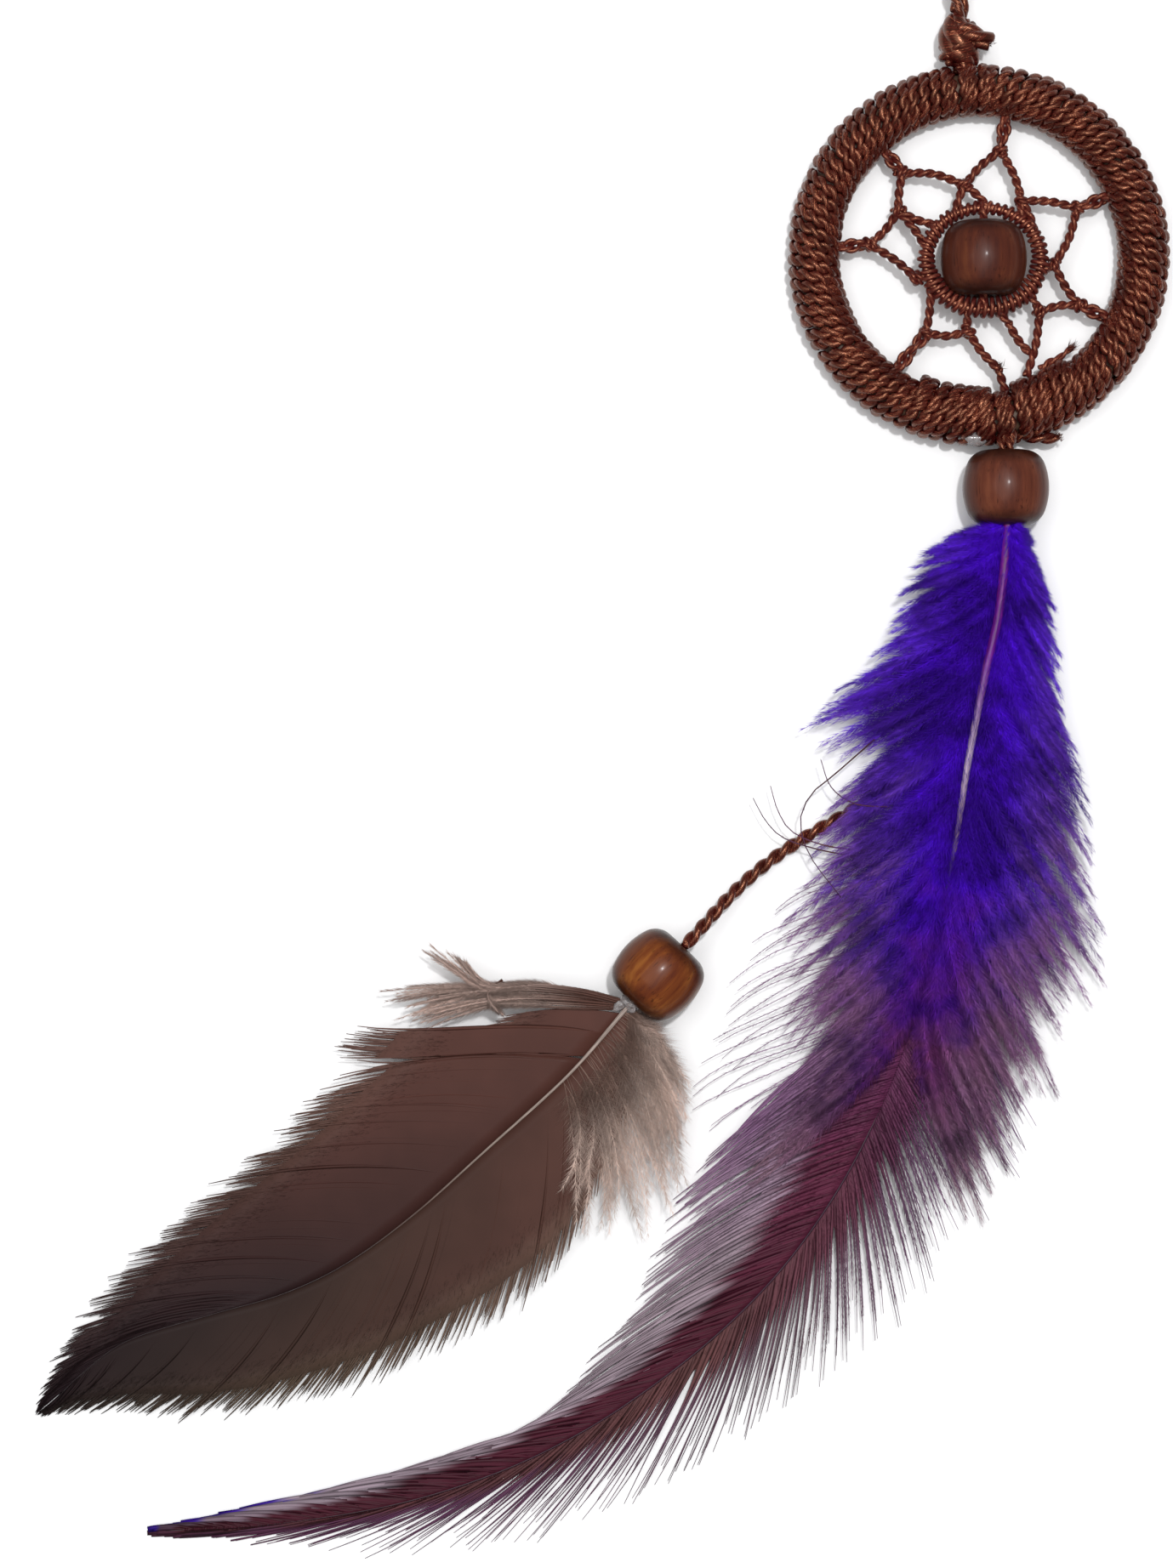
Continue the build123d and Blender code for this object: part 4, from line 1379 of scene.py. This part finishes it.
brown_spine = [
    (-2.6, -0.3),
    (0.9, 0.25),
    (11.0, 2.8),
    (24.3, 4.6),
    (35.6, 6.0),
    (45.4, 6.2),
    (53.5, 4.9),
    (61.6, 2.2),
    (71.6, -0.9),
    (78.5, -0.8),
    (83.1, 0.0),
]
brown = Feather(brown_spine, brown_place, 88.0)
brown_left_start = [(2.0, 0.5, 13.5, -7.4), (4.8, 1.3, 17.0, -7.4)]
brown_left_tuft = [(4.9, 1.3, 30.5, -14.2), (8.3, 2.15, 35.0, -13.2)]
brown_left_vane = [
    (8.4, 2.2, 33.0, -12.2),
    (14.0, 3.3, 38.5, -11.6),
    (20.0, 4.0, 43.5, -10.6),
    (26.0, 4.9, 50.0, -10.0),
    (33.0, 5.7, 57.5, -9.6),
    (41.0, 6.2, 65.0, -8.7),
    (49.0, 5.8, 72.5, -7.2),
    (57.0, 3.9, 79.0, -4.4),
    (65.0, 1.0, 82.5, -2.4),
    (73.0, -0.9, 84.5, -1.0),
    (81.0, -0.5, 85.8, 0.0),
]
brown_right_vane = [
    (1.5, 0.4, 4.5, 6.5),
    (3.0, 0.8, 8.0, 11.0),
    (5.0, 1.3, 13.5, 15.0),
    (7.0, 1.9, 19.5, 18.0),
    (10.0, 2.6, 25.0, 20.5),
    (14.0, 3.3, 31.0, 21.6),
    (18.5, 3.9, 37.0, 21.6),
    (24.0, 4.6, 44.0, 20.6),
    (31.0, 5.5, 51.5, 19.2),
    (38.0, 6.1, 59.0, 16.5),
    (45.0, 6.2, 66.5, 13.2),
    (53.0, 5.0, 73.0, 9.2),
    (61.0, 2.4, 79.0, 4.2),
    (69.0, -0.2, 83.0, 1.8),
    (76.0, -0.9, 85.0, 0.8),
    (81.5, -0.4, 85.8, 0.2),
]
brown_fluff = [
    (1.5, 0.4, -0.6, 6.0),
    (2.0, 0.5, 1.0, 12.0),
    (3.0, 0.8, 3.6, 17.0),
    (4.5, 1.2, 7.5, 21.5),
    (6.0, 1.6, 11.0, 24.0),
    (8.0, 2.1, 14.0, 24.0),
    (10.0, 2.6, 18.5, 21.5),
    (12.0, 2.9, 22.5, 20.6),
]
brown_quill = quill_material(
    "brown_quill",
    [
        (0.0, 0.32, 0.25, 0.22),
        (0.28, 0.26, 0.2, 0.17),
        (0.42, 0.09, 0.055, 0.045),
        (0.55, 0.02, 0.009, 0.009),
        (1.0, 0.012, 0.006, 0.008),
    ],
    0.2,
)
brown_widths = ([0, 3, 14, 40, 60, 88], [0.4, 0.26, 0.17, 0.11, 0.08, 0.05])
shaft(brown, brown_widths, ([0, 88], [0.2, 0.1]), 86.0, "brown_shaft", brown_quill, "lower_pendant")
brown_left_material = feather_material(
    "brown_vane_left",
    [
        (0.0, 0.092, 0.035, 0.026),
        (0.25, 0.066, 0.025, 0.0195),
        (0.48, 0.04, 0.0155, 0.0135),
        (0.66, 0.022, 0.0105, 0.0115),
        (1.0, 0.014, 0.007, 0.009),
    ],
    [
        (0.0, 0.18, 0.1, 0.085),
        (0.25, 0.13, 0.075, 0.06),
        (0.5, 0.08, 0.045, 0.04),
        (0.72, 0.035, 0.02, 0.022),
        (1.0, 0.015, 0.008, 0.01),
    ],
    (0.62, 1.0),
    0.95,
    (80.0, 0.3, 0.7, 0.8),
    0.1,
    vary=0.1,
)
brown_right_material = feather_material(
    "brown_vane_right",
    [
        (0.0, 0.092, 0.038, 0.028),
        (0.25, 0.066, 0.028, 0.021),
        (0.5, 0.044, 0.022, 0.0165),
        (0.75, 0.024, 0.0135, 0.012),
        (1.0, 0.014, 0.007, 0.009),
    ],
    [
        (0.0, 0.24, 0.15, 0.12),
        (0.25, 0.16, 0.105, 0.08),
        (0.5, 0.1, 0.07, 0.05),
        (0.75, 0.045, 0.032, 0.026),
        (1.0, 0.016, 0.01, 0.011),
    ],
    (0.62, 1.0),
    0.95,
    (80.0, 0.3, 0.7, 0.8),
    0.1,
    vary=0.1,
)
brown_down_material = feather_material(
    "brown_down",
    [(0.0, 0.11, 0.05, 0.038), (0.008, 0.14, 0.07, 0.055), (0.02, 0.24, 0.15, 0.12), (1.0, 0.3, 0.2, 0.16)],
    [(0.0, 0.52, 0.38, 0.33), (0.008, 0.52, 0.38, 0.33), (0.02, 0.8, 0.62, 0.54), (1.0, 0.86, 0.7, 0.61)],
    (0.2, 0.8),
    0.8,
    (150.0, 0.3, 0.6, 0.75),
    0.15,
)

cover = np.interp(np.linspace(0, 1, 16), [0, 0.6, 0.8, 1.0], [1.2, 1.2, 0.75, 0.2])
# Each part: its guide barbs, how many barbs, how much they clump and how much their tips hook.
brown_left_parts = [
    (brown_left_start, 26, 0.3, 0.0),
    (brown_left_tuft, 40, 0.4, -0.085),
    (brown_left_vane, 560, 0.04, 0.0),
]
brown_right_parts = [(brown_right_vane, 600, 0.06, 0.0)]
for name, parts, material, seed in [
    ("left", brown_left_parts, brown_left_material, 300),
    ("right", brown_right_parts, brown_right_material, 400),
]:
    vane = Piece()
    for number, (guides, count, clump, hook) in enumerate(parts):
        own = seed + 10 * number
        sheet(vane, brown, guides, 0.8, 0.09, 0.099, 0.4, hook)
        shape = (0.2, 0.09, clump, 4, 16, flat_lift(0.1, 0.4, 0.002), hook)
        barbs = grown(vane, brown, guides, (count, 0.2, 0.03), own, *shape)
        barbs.tubes(np.clip(spacing(barbs.lines), 0.09, 0.4) * cover, 0.036)
        barbs.hairs(40, 0.9, 0.034, 0.28, 0.66, 1.0, own + 2)
    vane.build(f"brown_vane_{name}_barbs", material, *BROWN, f"brown_vane_{name}")

# The folded barbs at the brown feather's root: a ridge that splits into tufts.
fold = Piece()
for number, (path, count, spread) in enumerate([
    (
        [
            (2.3, -24.9, 5.3),
            (-3.0, -23.5, 5.5),
            (-9.0, -22.8, 5.3),
            (-14.5, -22.9, 5.0),
            (-17.3, -20.6, 4.6),
            (-20.4, -17.3, 4.2),
        ],
        34,
        [0.25, 0.3, 0.3, 0.25, 0.9, 2.4],
    ),
    (
        [
            (2.2, -25.0, 5.2),
            (-3.0, -23.8, 5.3),
            (-9.0, -23.2, 5.1),
            (-14.5, -23.3, 4.8),
            (-20.0, -23.9, 4.3),
            (-26.5, -25.3, 3.8),
        ],
        44,
        [0.3, 0.5, 0.6, 0.5, 1.3, 2.2],
    ),
    (
        [
            (2.2, -25.3, 5.1),
            (-3.0, -24.9, 5.1),
            (-9.0, -24.6, 4.9),
            (-14.0, -24.8, 4.6),
            (-19.0, -26.0, 4.2),
            (-23.5, -27.6, 3.8),
        ],
        26,
        [0.3, 0.7, 0.8, 0.5, 0.8, 1.2],
    ),
    (
        [
            (-12.5, -22.2, 5.4),
            (-14.2, -23.6, 5.4),
            (-13.2, -25.4, 5.2),
            (-11.4, -27.2, 4.9),
        ],
        5,
        [0.3, 0.2, 0.3, 0.5],
    ),
]):
    barbs = Barbs(fold, in_space, np.zeros(count), *bundle(path, count, spread, 330 + number))
    barbs.tubes(np.linspace(0.22, 0.05, BUNDLE_ROWS), 0.06)
    barbs.hairs(230, 1.7, 0.04, 0.5, 0.55, 1.0, 340 + number)
    barbs.hairs(50, 0.6, 0.04, 0.3, 0.0, 0.6, 350 + number)
fold.build("brown_fold_barbs", brown_down_material, *BROWN, "brown_down_left")

fluff = Piece()
shape = (0.45, 0.14, 0.3, 5, 12, down_lift(-0.1, 0.1))
barbs = grown(fluff, brown, brown_fluff, (84, 0.8, 0.3), 410, *shape, stray=0.07)
barbs.tubes(np.linspace(0.11, 0.04, 12), 0.05, sides=3)
barbs.hairs(240, 2.8, 0.028, 0.75, 0.12, 1.0, 412)
fluff.build("brown_fluff_barbs", brown_down_material, *BROWN, "brown_down_right")


# ---------------------------------------------------------------- floor, light, colour
floor_material, floor_tree, floor_shader = new_material("pale_floor")
plug(floor_tree, floor_shader, {
    "Base Color": (0.9, 0.9, 0.905, 1.0),
    "Roughness": 0.9,
    "Specular IOR Level": 0.1,
})
FLOOR = 4.0
FLOOR_DROP = 0.00002
floor_mesh = bpy.data.meshes.new("floor")
floor_corners = [(-FLOOR, -FLOOR, 0), (FLOOR, -FLOOR, 0), (FLOOR, FLOOR, 0), (-FLOOR, FLOOR, 0)]
floor_mesh.from_pydata(floor_corners, [], [(0, 1, 2, 3)])
floor_mesh.materials.append(floor_material)
floor = bpy.data.objects.new("floor", floor_mesh)
floor.location.z = -FLOOR_DROP
bpy.context.scene.collection.objects.link(floor)

world = bpy.data.worlds.new("studio")
world.use_nodes = True
world.node_tree.nodes["Background"].inputs["Color"].default_value = (1.0, 1.0, 1.0, 1.0)
world.node_tree.nodes["Background"].inputs["Strength"].default_value = 0.3
bpy.context.scene.world = world


def softbox(name, location, size, power):
    """A square white light that faces the middle of the object."""
    data = bpy.data.lights.new(name, "AREA")
    data.shape = "SQUARE"
    data.size = size
    data.energy = power
    made = bpy.data.objects.new(name, data)
    made.location = location
    made.rotation_mode = "QUATERNION"
    made.rotation_quaternion = Vector([-v for v in location]).to_track_quat("-Z", "Y")
    bpy.context.scene.collection.objects.link(made)


softbox("overhead", (-0.1, 0.1, 0.95), 0.9, 6.0)
softbox("key", (0.09, 0.16, 0.8), 0.04, 3.3)

bpy.context.scene.view_settings.view_transform = "Standard"
